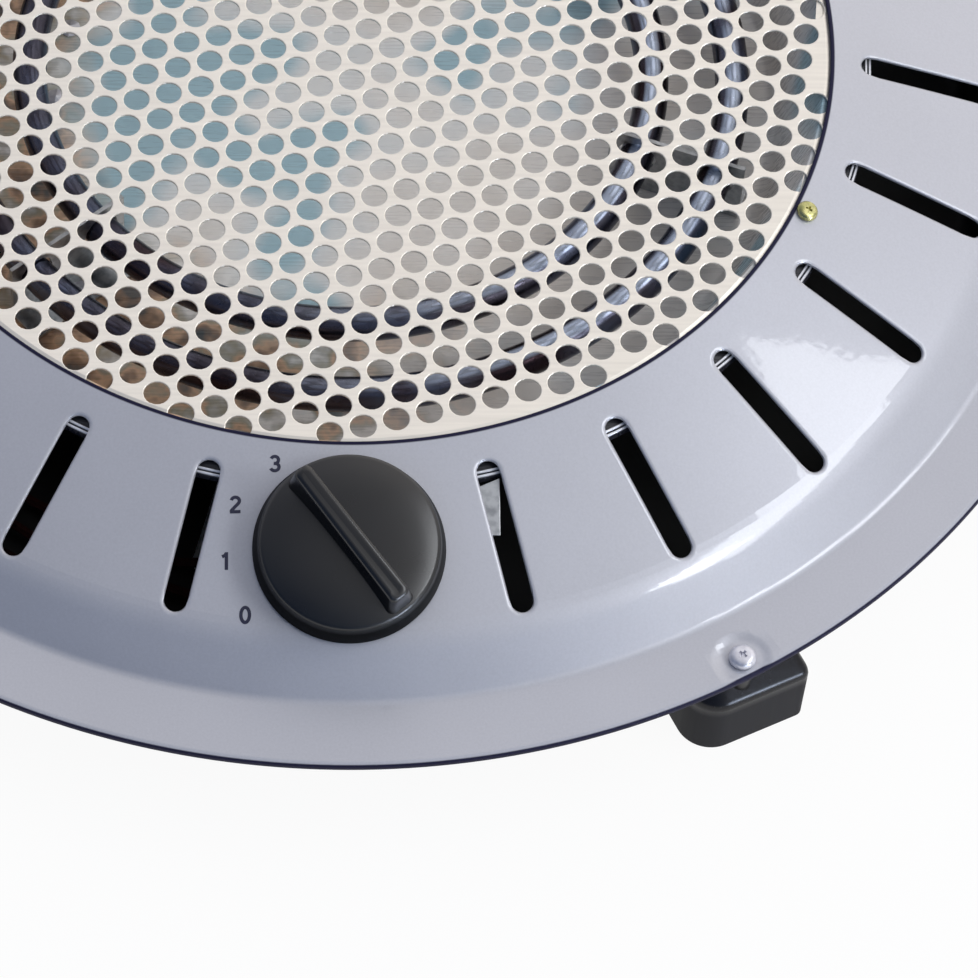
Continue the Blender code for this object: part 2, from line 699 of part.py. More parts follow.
def make_lower_casing():
    corners = [
        (CASING_FLANGE_RADIUS, casing_flange_height()),
        (CASING_MOUTH_RADIUS, casing_flange_height()),
        (CASING_FLOOR_RADIUS, CASING_CLEARANCE),
        (0.0, CASING_CLEARANCE),
    ]
    profile = rounded_path(corners, [(CASING_SHEET, 0), (CASING_BEND, 1)])
    casing = turned_sheet("lower_casing", profile, CASING_SHEET, CASING_SIDES, BLACK_STEEL)
    vents = [
        radial_slot(
            math.tau * (place + 0.5) / VENT_PLACES, VENT_INNER_RADIUS, VENT_OUTER_RADIUS,
            VENT_WIDTH, VENT_END_STEPS,
        )
        for place in range(VENT_PLACES)
    ]
    floor = Matrix.Translation((0.0, 0.0, CASING_CLEARANCE))
    boolean(casing, plate("vent_cutter", vents, CUT_OVERRUN * 2.0, None, floor), "DIFFERENCE")
    low, high = casing_flange_height() - CUT_OVERRUN, RIM_HEIGHT - RING_SHEET
    for number, angle in enumerate(FOOT_COMPASSES, 1):
        frame = compass_frame(angle, FOOT_SCREW_RADIUS, 0.0)
        drill(casing, f"casing_foot_hole_{number}", frame, FOOT_SCREW_SHANK + SEAT_GAP, low, high)
    reach = GLAND_COLLAR + CUT_OVERRUN
    drill(casing, "casing_gland_hole", gland_frame(), GLAND_NECK + SEAT_GAP, -reach, reach)
    frame = compass_frame(EARTH_COMPASS, EARTH_RADIAL_PLACE, CASING_CLEARANCE)
    drill(casing, "casing_earth_hole", frame, EARTH_SCREW_SHANK + SEAT_GAP, -CUT_OVERRUN, CUT_OVERRUN)
    hole = BLOCK_SCREW_SHANK + SEAT_GAP
    drill(casing, "casing_block_hole", block_screw_frame(), hole, -CUT_OVERRUN, CUT_OVERRUN)
    return casing


def foot_outline():
    """The foot's outline round its screw, X along the rim and Y inwards, with its large corner at -X."""
    left, right = -FOOT_LEFT_REACH, FOOT_RIGHT_REACH
    outer, inner = -FOOT_OUTER_REACH, FOOT_INNER_REACH
    start = ((left + right) / 2.0, inner)
    corners = [start, (left, inner), (left, outer), (right, outer), (right, inner), start]
    bends = [(FOOT_CORNER, 1), (FOOT_LEFT_CORNER, 4), (FOOT_CORNER, 2), (FOOT_CORNER, 1)]
    path = rounded_path(corners, bends)
    return [(point.x, point.y) for point in path[:-1]]


def make_foot(number, angle):
    frame = compass_frame(angle, FOOT_SCREW_RADIUS, 0.0) @ Matrix.Rotation(-FOOT_TWIST, 4, "Z")
    outline = foot_outline()
    middle = (FOOT_RIGHT_REACH - FOOT_LEFT_REACH) / 2.0
    shape = bmesh.new()
    loops = []
    for height, width_share, depth_share in (
        (0.0, 1.0, 1.0),
        (FOOT_SIDE_HEIGHT, 1.0, 1.0),
        (FOOT_SIDE_HEIGHT + FOOT_CROWN_HEIGHT, FOOT_CROWN_WIDTH_SHARE, FOOT_CROWN_DEPTH_SHARE),
    ):
        loops.append(
            [
                shape.verts.new(
                    (
                        middle + (x - middle) * width_share,
                        FOOT_INNER_REACH + (y - FOOT_INNER_REACH) * depth_share,
                        height,
                    )
                )
                for x, y in outline
            ]
        )
    for lower, upper in zip(loops, loops[1:]):
        for side in range(len(outline)):
            after = (side + 1) % len(outline)
            shape.faces.new((lower[side], lower[after], upper[after], upper[side]))
    shape.faces.new(loops[0])
    shape.faces.new(loops[-1])
    bmesh.ops.recalc_face_normals(shape, faces=shape.faces)
    foot = smooth(add(f"foot_{number}", mesh_of(shape, f"foot_{number}"), BLACK_ABS, frame))
    bevel(foot, FOOT_EDGE)
    top = casing_flange_height() - SEAT_GAP
    boss = rod(f"foot_boss_{number}", FOOT_BOSS, FOOT_SIDE_HEIGHT / 2.0, top, SCREW_SIDES, None, frame)
    boolean(foot, boss, "UNION")
    depth = RIM_HEIGHT - FOOT_SCREW_REACH - CUT_OVERRUN
    drill(foot, f"foot_hole_{number}", frame, FOOT_SCREW_SHANK + SEAT_GAP, depth, RIM_HEIGHT, SCREW_SIDES)
    head_seat = compass_frame(angle, FOOT_SCREW_RADIUS, RIM_HEIGHT)
    screw(
        f"foot_screw_{number}", head_seat, FOOT_SCREW_SHANK, FOOT_SCREW_HEAD,
        FOOT_SCREW_HEAD_HEIGHT, FOOT_SCREW_REACH, ZINC,
    )


def element_path(radius):
    """The centre line of an element: down one leg, round the ring and down the other."""
    first, second = element_ends(radius)
    run = math.tau - (second - first)
    lead = ELEMENT_BEND / radius
    points = [compass(second, radius, ELEMENT_LEG_END)]
    for step in range(ELEMENT_BEND_STEPS + 1):
        swing = math.pi / 2.0 * step / ELEMENT_BEND_STEPS
        angle = second + lead * (1.0 - math.cos(swing))
        points.append(compass(angle, radius, TUBE_HEIGHT - ELEMENT_BEND * (1.0 - math.sin(swing))))
    for step in range(1, ELEMENT_ARC_STEPS):
        angle = second + lead + (run - 2.0 * lead) * step / ELEMENT_ARC_STEPS
        points.append(compass(angle, radius, TUBE_HEIGHT))
    for step in range(ELEMENT_BEND_STEPS + 1):
        swing = math.pi / 2.0 * step / ELEMENT_BEND_STEPS
        angle = second + run - lead * (1.0 - math.sin(swing))
        points.append(compass(angle, radius, TUBE_HEIGHT - ELEMENT_BEND * (1.0 - math.cos(swing))))
    points.append(compass(first, radius, ELEMENT_LEG_END))
    return points


def make_elements():
    tube("heating_element_inner", element_path(INNER_ELEMENT_RADIUS), TUBE_RADIUS, TUBE_STEEL, 2)
    tube("heating_element_outer", element_path(OUTER_ELEMENT_RADIUS), TUBE_RADIUS, TUBE_STEEL, 2)
    bore = TUBE_RADIUS + SEAT_GAP
    seat = PAN_FLOOR_HEIGHT + SEAT_GAP
    bottom = PAN_FLOOR_HEIGHT - PAN_SHEET - BUSH_DEPTH
    profile = [
        (bore, seat + BUSH_COLLAR_HEIGHT),
        (BUSH_COLLAR, seat + BUSH_COLLAR_HEIGHT),
        (BUSH_COLLAR, seat),
        (BUSH_RADIUS, seat),
        (BUSH_RADIUS, bottom),
        (bore, bottom),
    ]
    for name, angle, radius in element_legs():
        frame = compass_frame(angle, radius, 0.0)
        turned(f"element_bush_{name}", profile, SMALL_SIDES, STEATITE, frame, closed=True)
        top = ELEMENT_LEG_END - SEAT_GAP
        rod(f"element_pin_{name}", PIN_RADIUS, top - PIN_LENGTH, top, 8, BRASS, frame)


def rivet_shift():
    """From a bracket's web to the middle of its foot."""
    return Matrix.Translation(((BRACKET_SHEET + BRACKET_FOOT_WIDTH) / 2.0, 0.0, 0.0))


def make_brackets():
    """Upright plates that both elements pass through, each on a foot riveted to the pan."""
    seat = PAN_FLOOR_HEIGHT + SEAT_GAP
    hole = TUBE_RADIUS + BRACKET_HOLE_CLEARANCE
    inner = INNER_ELEMENT_RADIUS - hole - BRACKET_WEB
    outer = OUTER_ELEMENT_RADIUS + hole + BRACKET_WEB
    top = TUBE_HEIGHT + hole + BRACKET_WEB - seat
    middle = (inner + outer) / 2.0
    length = outer - inner
    rise = TUBE_HEIGHT - seat
    outline = [(-length / 2.0, 0.0), (length / 2.0, 0.0), (length / 2.0, top), (-length / 2.0, top)]
    ways = [
        circle(hole, SMALL_SIDES, (middle - place, rise))
        for place in (INNER_ELEMENT_RADIUS, OUTER_ELEMENT_RADIUS)
    ]
    upright = Matrix.Rotation(math.pi / 2.0, 4, "Z") @ Matrix.Rotation(math.pi / 2.0, 4, "X")
    for number, angle in enumerate(BRACKET_COMPASSES, 1):
        frame = compass_frame(angle, middle, seat)
        web = plate(f"element_bracket_{number}", [outline, *ways], BRACKET_SHEET, GALVANISED, frame @ upright)
        shift = Matrix.Translation((BRACKET_FOOT_WIDTH / 2.0, 0.0, BRACKET_SHEET / 2.0))
        foot = box(f"bracket_foot_{number}", (BRACKET_FOOT_WIDTH, length, BRACKET_SHEET), None, frame @ shift)
        boolean(web, foot, "UNION")
        rivet_frame = compass_frame(angle, rivet_radius_place(), 0.0) @ rivet_shift()
        drill(
            web, f"bracket_hole_{number}", rivet_frame, RIVET_RADIUS + SEAT_GAP,
            seat - CUT_OVERRUN, seat + BRACKET_SHEET + CUT_OVERRUN, SCREW_SIDES,
        )
        head = seat + BRACKET_SHEET + SEAT_GAP
        tail = PAN_FLOOR_HEIGHT - PAN_SHEET - SEAT_GAP
        profile = [
            (0.0, head + RIVET_HEAD_HEIGHT),
            (RIVET_HEAD, head),
            (RIVET_RADIUS, head),
            (RIVET_RADIUS, tail),
            (RIVET_HEAD, tail),
            (0.0, tail - RIVET_HEAD_HEIGHT),
        ]
        turned(f"bracket_rivet_{number}", profile, SCREW_SIDES, ZINC, rivet_frame)


def knob_frame():
    """The switch's axis: its origin is on the ring's upper face and its Z points out of it."""
    return cone_frame(0.0, KNOB_RADIAL_PLACE)


def make_knob():
    pointer = knob_frame() @ Matrix.Rotation(DIAL_FIRST_ANGLE, 4, "Z")
    round_radius = KNOB_SHOULDER_RADIUS + (KNOB_SKIRT_RADIUS - KNOB_SHOULDER_RADIUS) * KNOB_ROUND_DEPTH_SHARE
    profile = [
        (0.0, KNOB_DOME_HEIGHT),
        *((KNOB_SHOULDER_RADIUS * out, KNOB_DOME_HEIGHT * up) for out, up in KNOB_DOME_SHARES),
        (KNOB_SHOULDER_RADIUS, KNOB_SHOULDER_HEIGHT),
        (round_radius, KNOB_SHOULDER_HEIGHT * KNOB_ROUND_HEIGHT_SHARE),
        (KNOB_SKIRT_RADIUS, KNOB_LIFT + KNOB_EDGE),
        (KNOB_SKIRT_RADIUS, KNOB_LIFT),
        (0.0, KNOB_LIFT),
    ]
    knob = turned("knob", profile, KNOB_SIDES, BLACK_ABS, pointer)
    foot_height = KNOB_LIFT + KNOB_WALL
    shape = bmesh.new()
    bmesh.ops.create_cube(shape, size=1.0)
    bmesh.ops.scale(shape, vec=(RIB_WIDTH, RIB_LENGTH, RIB_HEIGHT - foot_height), verts=shape.verts)
    for vertex in shape.verts:
        if vertex.co.z > 0.0:
            vertex.co.x *= RIB_TOP_WIDTH_SHARE
            vertex.co.y *= RIB_TOP_LENGTH_SHARE
    bmesh.ops.translate(shape, verts=shape.verts, vec=(0.0, 0.0, (RIB_HEIGHT + foot_height) / 2.0))
    rib = bevel(add("knob_rib", mesh_of(shape, "knob_rib"), None, pointer), RIB_EDGE)
    boolean(knob, rib, "UNION")
    hollow = KNOB_SHOULDER_HEIGHT - KNOB_ROOF
    hub = KNOB_LIFT + BUSH_THREAD_TOP
    cavity = [
        (KNOB_SKIRT_RADIUS - KNOB_WALL, hollow),
        (KNOB_SKIRT_RADIUS - KNOB_WALL, -CUT_OVERRUN),
        (0.0, -CUT_OVERRUN),
        (0.0, hub),
        (KNOB_HUB_RADIUS, hub),
        (KNOB_HUB_RADIUS, hollow),
    ]
    boolean(knob, turned("knob_cavity", cavity, KNOB_SIDES, None, pointer, closed=True), "DIFFERENCE")
    drill(knob, "knob_bore", pointer, SHAFT_RADIUS + SEAT_GAP, -CUT_OVERRUN, SHAFT_TOP + SEAT_GAP)
    shaft = rod("switch_shaft", SHAFT_RADIUS, -SHAFT_END, SHAFT_TOP, SMALL_SIDES, ZINC, pointer)
    flat = Matrix.Translation((0.0, SHAFT_RADIUS * 2.0 - SHAFT_FLAT_DEPTH, SHAFT_TOP))
    size = (SHAFT_RADIUS * 2.0, SHAFT_RADIUS * 2.0, (SHAFT_TOP - BUSH_THREAD_TOP) * 2.0)
    boolean(shaft, box("shaft_flat", size, None, pointer @ flat), "DIFFERENCE")
    return knob


def make_switch():
    frame = knob_frame()
    bore = SHAFT_RADIUS + SEAT_GAP
    top = -SHIELD_DEPTH - SHIELD_SHEET - SEAT_GAP
    middle = Matrix.Translation((0.0, 0.0, top - SWITCH_HEIGHT / 2.0))
    body = box("switch_body", (SWITCH_WIDTH, SWITCH_WIDTH, SWITCH_HEIGHT), PHENOLIC, frame @ middle)
    bevel(body, SWITCH_EDGE)
    low = top - SWITCH_EDGE
    bush = rod("switch_bush", BUSH_THREAD_RADIUS, low, BUSH_THREAD_TOP, SMALL_SIDES, None, frame)
    boolean(body, bush, "UNION")
    drill(body, "switch_bore", frame, bore, -SHAFT_END - SEAT_GAP, BUSH_THREAD_TOP + CUT_OVERRUN)
    nut_bore = BUSH_THREAD_RADIUS + SEAT_GAP
    nut = rod("switch_nut", SWITCH_NUT_RADIUS, SEAT_GAP, SEAT_GAP + SWITCH_NUT_HEIGHT, 6, ZINC, frame)
    drill(nut, "switch_nut_bore", frame, nut_bore, -CUT_OVERRUN, SWITCH_NUT_HEIGHT + CUT_OVERRUN)
    under = -RING_SHEET - SEAT_GAP
    spacer = rod("switch_spacer", SPACER_RADIUS, SEAT_GAP - SHIELD_DEPTH, under, SMALL_SIDES, ZINC, frame)
    drill(spacer, "switch_spacer_bore", frame, nut_bore, -SHIELD_DEPTH - CUT_OVERRUN, CUT_OVERRUN)
    low = top - SWITCH_HEIGHT - SEAT_GAP
    for number, frame_shift in enumerate(tab_shifts(), 1):
        place = frame @ frame_shift @ Matrix.Translation((0.0, 0.0, low - TAB_LENGTH / 2.0))
        box(f"switch_tab_{number}", (TAB_WIDTH, TAB_THICKNESS, TAB_LENGTH), BRASS, place)


def tab_shifts():
    """The places of the switch's four tabs round its axis."""
    return [
        Matrix.Translation((across * TAB_OFFSET, along * TAB_OFFSET, 0.0))
        for across, along in ((-1.0, -1.0), (1.0, -1.0), (-1.0, 1.0), (1.0, 1.0))
    ]


def make_heat_shield():
    frame = knob_frame()
    outline = [
        (-SHIELD_HALF_WIDTH, -SHIELD_OUTER_EDGE),
        (SHIELD_HALF_WIDTH, -SHIELD_OUTER_EDGE),
        (SHIELD_HALF_WIDTH, SHIELD_LUG_EDGE),
        (SHIELD_LUG_REACH, SHIELD_LUG_EDGE),
        (SHIELD_LUG_REACH, SHIELD_WALL_PLACE),
        (-SHIELD_HALF_WIDTH, SHIELD_WALL_PLACE),
    ]
    way = circle(BUSH_THREAD_RADIUS + SEAT_GAP, SMALL_SIDES)
    middle = Matrix.Translation((0.0, 0.0, -SHIELD_DEPTH - SHIELD_SHEET / 2.0))
    shield = plate("switch_heat_shield", [outline, way], SHIELD_SHEET, GALVANISED, frame @ middle)
    width = SHIELD_LUG_REACH + SHIELD_HALF_WIDTH
    place = Matrix.Translation(
        (
            (SHIELD_LUG_REACH - SHIELD_HALF_WIDTH) / 2.0,
            SHIELD_WALL_PLACE - SHIELD_SHEET / 2.0,
            -SHIELD_DEPTH - SHIELD_WALL_HEIGHT / 2.0,
        )
    )
    wall = box("shield_wall", (width, SHIELD_SHEET, SHIELD_WALL_HEIGHT), None, frame @ place)
    return boolean(shield, wall, "UNION")


def cutout_frame():
    return compass_frame(CUTOUT_COMPASS, CUTOUT_RADIAL_PLACE, PAN_FLOOR_HEIGHT - PAN_SHEET)


def clip_screw_frames():
    """The places of the clip's two rivets in the pan's floor."""
    return [
        cutout_frame() @ Matrix.Translation((side * CLIP_SCREW_REACH, 0.0, 0.0))
        for side in (-1.0, 1.0)
    ]


def make_cutout():
    """A disc thermostat held against the pan's underside by a riveted clip."""
    frame = cutout_frame()
    top = -SEAT_GAP
    rod("thermal_cutout", CUTOUT_RADIUS, top - CUTOUT_HEIGHT, top, SMALL_SIDES, PHENOLIC, frame)
    under = top - CUTOUT_HEIGHT - SEAT_GAP - CLIP_SHEET / 2.0
    place = frame @ Matrix.Translation((0.0, 0.0, under))
    clip = box("cutout_clip", (CLIP_LENGTH, CLIP_WIDTH, CLIP_SHEET), GALVANISED, place)
    leg_height = CUTOUT_HEIGHT + SEAT_GAP + CLIP_SHEET
    for side, label in ((-1.0, "left"), (1.0, "right")):
        reach = (CUTOUT_RADIUS + SEAT_GAP + CLIP_LENGTH / 2.0) / 2.0
        width = CLIP_LENGTH / 2.0 - CUTOUT_RADIUS - SEAT_GAP
        place = Matrix.Translation((side * reach, 0.0, top - leg_height / 2.0))
        leg = box(f"clip_leg_{label}", (width, CLIP_WIDTH, leg_height), None, frame @ place)
        boolean(clip, leg, "UNION")
    for number, place in enumerate(clip_screw_frames(), 1):
        drill(
            clip, f"clip_hole_{number}", place, RIVET_RADIUS + SEAT_GAP,
            -leg_height - CUT_OVERRUN, CUT_OVERRUN, SCREW_SIDES,
        )
        low = top - leg_height - SEAT_GAP
        high = PAN_SHEET + SEAT_GAP
        profile = [
            (0.0, high + RIVET_HEAD_HEIGHT),
            (RIVET_HEAD, high),
            (RIVET_RADIUS, high),
            (RIVET_RADIUS, low),
            (RIVET_HEAD, low),
            (0.0, low - RIVET_HEAD_HEIGHT),
        ]
        turned(f"clip_rivet_{number}", profile, SCREW_SIDES, ZINC, place)


def block_frame():
    return compass_frame(BLOCK_COMPASS, BLOCK_RADIAL_PLACE, CASING_CLEARANCE + CASING_SHEET + SEAT_GAP)


def block_screw_frame():
    """The place of the block's screw under the casing's floor, with Z pointing down."""
    radius = BLOCK_RADIAL_PLACE - BLOCK_SCREW_OFFSET
    return compass_frame(BLOCK_COMPASS, radius, CASING_CLEARANCE) @ Matrix.Rotation(math.pi, 4, "X")


def block_way(number):
    """The mouth of one of the block's ways, in its top."""
    along = (number - (BLOCK_WAYS + 1) / 2.0) * BLOCK_WAY_PITCH
    return Vector((along, -BLOCK_WAY_OFFSET, BLOCK_HEIGHT))


def make_terminal_block():
    frame = block_frame()
    middle = Matrix.Translation((0.0, 0.0, BLOCK_HEIGHT / 2.0))
    block = box("terminal_block", (BLOCK_LENGTH, BLOCK_WIDTH, BLOCK_HEIGHT), NYLON, frame @ middle)
    bevel(block, BLOCK_EDGE)
    for number in range(1, BLOCK_WAYS + 1):
        place = frame @ Matrix.Translation(block_way(number))
        drill(block, f"block_way_{number}", place, BLOCK_WAY_RADIUS, -BLOCK_WAY_DEPTH, CUT_OVERRUN, 8)
    place = block_screw_frame()
    low = -BLOCK_SCREW_REACH - SEAT_GAP
    drill(block, "block_screw_hole", place, BLOCK_SCREW_SHANK + SEAT_GAP, low, CUT_OVERRUN)
    screw(
        "block_screw", place, BLOCK_SCREW_SHANK, BLOCK_SCREW_HEAD,
        BLOCK_SCREW_HEAD_HEIGHT, BLOCK_SCREW_REACH, ZINC,
    )


def casing_wall_angle():
    """How far the casing's wall leans out from the vertical."""
    rise = casing_flange_height() - CASING_CLEARANCE
    return math.atan2(CASING_MOUTH_RADIUS - CASING_FLOOR_RADIUS, rise)


def gland_frame():
    """In the middle of one flat of the casing's outer wall, with Z square out of it."""
    lean = casing_wall_angle()
    facet = math.tau / CASING_SIDES
    radius = CASING_FLOOR_RADIUS + (GLAND_HEIGHT - CASING_CLEARANCE) * math.tan(lean)
    middle = math.pi / 2.0 + (math.floor((GLAND_COMPASS - math.pi / 2.0) / facet) + 0.5) * facet
    out = Matrix.Rotation(math.pi / 2.0 + lean, 4, "X")
    return compass_frame(middle, radius * math.cos(facet / 2.0), GLAND_HEIGHT) @ out


def make_gland():
    """A snap-in gland for the mains lead, with a collar on each side of the wall."""
    outside = SEAT_GAP
    inside = -CASING_SHEET - SEAT_GAP
    profile = [
        (GLAND_BORE, outside + GLAND_COLLAR_WIDTH + GLAND_NOZZLE_LENGTH),
        (GLAND_NOZZLE, outside + GLAND_COLLAR_WIDTH + GLAND_NOZZLE_LENGTH),
        (GLAND_NOZZLE, outside + GLAND_COLLAR_WIDTH),
        (GLAND_COLLAR, outside + GLAND_COLLAR_WIDTH),
        (GLAND_COLLAR, outside),
        (GLAND_NECK, outside),
        (GLAND_NECK, inside),
        (GLAND_COLLAR, inside),
        (GLAND_COLLAR, inside - GLAND_COLLAR_WIDTH),
        (GLAND_BORE, inside - GLAND_COLLAR_WIDTH),
    ]
    turned("cord_gland", profile, SMALL_SIDES, BLACK_ABS, gland_frame(), closed=True)


def make_earth_screw():
    seat = CASING_CLEARANCE + CASING_SHEET
    frame = compass_frame(EARTH_COMPASS, EARTH_RADIAL_PLACE, seat)
    screw(
        "earth_screw", frame, EARTH_SCREW_SHANK, EARTH_SCREW_HEAD, EARTH_SCREW_HEAD_HEIGHT,
        EARTH_SCREW_REACH, BRASS,
    )


def smooth_line(points, per_span=2):
    """A Catmull-Rom line through points."""
    line = []
    padded = [points[0], *points, points[-1]]
    for before, first, second, after in zip(padded, padded[1:], padded[2:], padded[3:]):
        for step in range(per_span):
            share = step / per_span
            line.append(
                0.5
                * (
                    2.0 * first
                    + (second - before) * share
                    + (2.0 * before - 5.0 * first + 4.0 * second - after) * share**2
                    + (3.0 * first - before - 3.0 * second + after) * share**3
                )
            )
    line.append(points[-1])
    return line


def wire(name, start, way, end, finish):
    """A wire that runs straight at its ends and passes (compass, radius) places between.

    Each end is a place and the direction in which the wire leaves it.
    """
    (first, leaving), (last, meeting) = start, end
    points = [first + leaving * WIRE_STRAIGHT]
    points.extend(compass(math.radians(angle), radius, WIRE_HEIGHT) for angle, radius in way)
    points.append(last + meeting * WIRE_STRAIGHT)
    tube(name, [first, *smooth_line(points), last], WIRE_RADIUS, finish, 1)


def pin_end(name):
    """Just under an element's pin."""
    low = ELEMENT_LEG_END - SEAT_GAP * 2.0 - PIN_LENGTH
    place = next((angle, radius) for leg, angle, radius in element_legs() if leg == name)
    return compass(*place, low), Vector((0.0, 0.0, -1.0))


def tab_end(number):
    """Just under a switch tab, whose wire leaves straight down."""
    low = -SHIELD_DEPTH - SHIELD_SHEET - SWITCH_HEIGHT - SEAT_GAP * 3.0 - TAB_LENGTH
    return knob_frame() @ tab_shifts()[number - 1] @ Vector((0.0, 0.0, low)), Vector((0.0, 0.0, -1.0))


def way_end(number):
    """Just inside one of the block's ways, at its face towards the pan."""
    along = block_way(number).x
    place = block_frame() @ Vector((along, BLOCK_WIDTH / 2.0 + SEAT_GAP, BLOCK_HEIGHT / 2.0))
    return place, Matrix.Rotation(BLOCK_COMPASS, 3, "Z") @ Vector((0.0, 1.0, 0.0))


def cutout_end(side):
    """Just under one side of the cut-out, clear of its clip."""
    along = side * (CLIP_WIDTH + CUTOUT_RADIUS) / 2.0
    low = -CUTOUT_HEIGHT - SEAT_GAP * 2.0
    return cutout_frame() @ Vector((0.0, along, low)), Vector((0.0, 0.0, -1.0))


def earth_end():
    """Just over the earth screw's head."""
    height = CASING_CLEARANCE + CASING_SHEET + EARTH_SCREW_HEAD_HEIGHT + SEAT_GAP * 2.0
    return compass(EARTH_COMPASS, EARTH_RADIAL_PLACE, height), Vector((0.0, 0.0, 1.0))


def make_wires():
    """The wires of the mains side, then those that run round the floor to the switch."""
    bay = WIRE_BAY_RADIUS
    line = [
        (angle, INNER_ELEMENT_RADIUS * share)
        for angle, share in zip(LINE_WIRE_COMPASSES, LINE_WIRE_SHARES)
    ]
    wire("wire_line", way_end(2), [(197.0, bay), *line], cutout_end(1.0), WIRE_RED)
    under = [(203.0, bay), (211.0, OUTER_ELEMENT_RADIUS)]
    wire("wire_neutral_inner", way_end(3), under, pin_end("inner_a"), WIRE_BLUE)
    under = [(208.0, bay), (216.0, OUTER_ELEMENT_RADIUS * OUTER_BEND_SHARE)]
    wire("wire_neutral_outer", way_end(4), under, pin_end("outer_a"), WIRE_BLUE)
    under = [(184.0, bay * EARTH_BEND_SHARE)]
    wire("wire_earth", way_end(1), under, earth_end(), WIRE_GREEN)
    lanes = [
        [(angle, WIRE_LANE_RADIUS - WIRE_LANE_PITCH * place) for angle in angles]
        for place, angles in zip((2, 1, 0), LANE_COMPASSES)
    ]
    way = [(270.0, OUTER_ELEMENT_RADIUS * FEED_BEND_SHARE), *lanes[0]]
    wire("wire_switch_feed", cutout_end(-1.0), way, tab_end(3), WIRE_RED)
    way = [*lanes[1], (256.0, bay), (246.0, OUTER_ELEMENT_RADIUS)]
    wire("wire_inner_element", tab_end(1), way, pin_end("inner_b"), WIRE_RED)
    way = [*lanes[2], (246.0, bay)]
    wire("wire_outer_element", tab_end(2), way, pin_end("outer_b"), WIRE_RED)


make_top_ring()
make_grille()
make_reflector_pan()
make_grille_screws()
make_lower_casing()
for foot_number, foot_angle in enumerate(FOOT_COMPASSES, 1):
    make_foot(foot_number, foot_angle)
make_elements()
make_brackets()
make_knob()
make_switch()
make_heat_shield()
make_cutout()
make_terminal_block()
make_gland()
make_earth_screw()
make_wires()
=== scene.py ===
"""Electric brazier: the fine surfaces, finishes and studio of a round under-table heater.

Metres, +Z up, with the origin on the heater's axis at the floor and the knob at -Y.
Compass angles run from -Y towards +X, seen from above.
"""

import contextlib
import json
import math

import bmesh
import bpy
import numpy as np
from bpy.props import FloatProperty, FloatVectorProperty, IntProperty, PointerProperty
from mathutils import Matrix, Vector


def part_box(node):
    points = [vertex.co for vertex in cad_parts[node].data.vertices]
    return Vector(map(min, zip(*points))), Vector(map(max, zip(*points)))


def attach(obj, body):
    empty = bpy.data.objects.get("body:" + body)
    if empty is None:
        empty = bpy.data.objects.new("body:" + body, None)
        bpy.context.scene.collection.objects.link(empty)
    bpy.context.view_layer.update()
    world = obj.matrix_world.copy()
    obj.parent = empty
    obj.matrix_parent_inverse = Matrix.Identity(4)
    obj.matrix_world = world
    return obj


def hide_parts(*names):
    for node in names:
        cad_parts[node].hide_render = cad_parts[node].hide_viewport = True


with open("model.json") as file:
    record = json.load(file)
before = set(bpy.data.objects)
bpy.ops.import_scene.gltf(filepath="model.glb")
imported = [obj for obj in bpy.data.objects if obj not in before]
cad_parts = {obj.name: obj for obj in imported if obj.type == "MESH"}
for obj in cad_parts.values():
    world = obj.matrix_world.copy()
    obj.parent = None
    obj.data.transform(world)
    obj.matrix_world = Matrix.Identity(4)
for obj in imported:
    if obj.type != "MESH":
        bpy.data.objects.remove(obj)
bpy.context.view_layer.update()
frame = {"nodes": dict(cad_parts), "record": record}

bl_info = {
    "name": "Electric brazier",
    "version": (1, 0, 0),
    "blender": (4, 5, 0),
    "location": "View3D > Sidebar > Brazier",
    "description": "Dresses the electric brazier: pressed ring, grille, elements, knob and feet",
    "category": "Object",
}

# Fits that every piece shares
SEAT_GAP = 0.0003
MERGE = 0.000001
SMOOTH_ANGLE = math.radians(35.0)
SOFTEN_ANGLE = math.radians(50.0)

# Top ring, measured on its upper face
RIM_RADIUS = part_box("top_ring")[1].x
RIM_HEIGHT = 0.030
OPENING_RADIUS = RIM_RADIUS - 0.073
RING_SHEET = 0.0008
LIP_DROP = 0.0022
LIP_BEND = 0.0012
CREASE_RADIUS = RIM_RADIUS - 0.0165
SHOULDER_ANGLE = math.radians(40.0)
SHOULDER_BEND = 0.020
CREASE_BEND = 0.003
RING_RISE = 0.0235
CONE_ANGLE = math.radians(17.0)
RING_CROWN = 0.00025
RING_CROWN_END = 0.02
SLOT_PLACES = 25
SLOT_INNER_RADIUS = OPENING_RADIUS + 0.0079
SLOT_OUTER_RADIUS = CREASE_RADIUS - 0.0133
SLOT_MARGIN = 0.0005
SLOT_ROLL = 0.0011
END_STEPS = 12
SIDE_STEPS = 6

# Grille, pan and the screws that clamp them
GRILLE_SHEET = 0.0006
FIELD_RADIUS = OPENING_RADIUS - 0.0012
BORDER_WIDTH = 0.0077
FIRST_HOLE_COMPASS = math.radians(1.69)
FIRST_HOLE_RADIUS = OPENING_RADIUS - 0.0046
FIELD_CENTRE = Vector((-0.0012, -0.0003, 0.0))
FIELD_MARGIN = 0.0002
LATTICE_ROWS = 90.0
HOLE_STEPS = 18
RIM_STEPS = 200
HAIR = 0.000002
GRILLE_SCREW_COMPASSES = [math.radians(64.2 + 120.0 * turn) for turn in range(3)]
GRILLE_SCREW_RADIUS = OPENING_RADIUS + 0.0032
GRILLE_SCREW_HEAD = (0.0026, 0.0016)
GRILLE_SCREW_SHANK = (0.0014, 0.0068)
PAN_SHEET = 0.0006
PAN_FLOOR_HEIGHT = 0.025
PAN_MOUTH_RADIUS = OPENING_RADIUS - 0.0013
PAN_FLOOR_RADIUS = PAN_MOUTH_RADIUS - 0.0097
PAN_FLANGE_RADIUS = GRILLE_SCREW_RADIUS + 0.0074
PAN_HEM = 0.0019
PAN_RIDGE = 0.0005
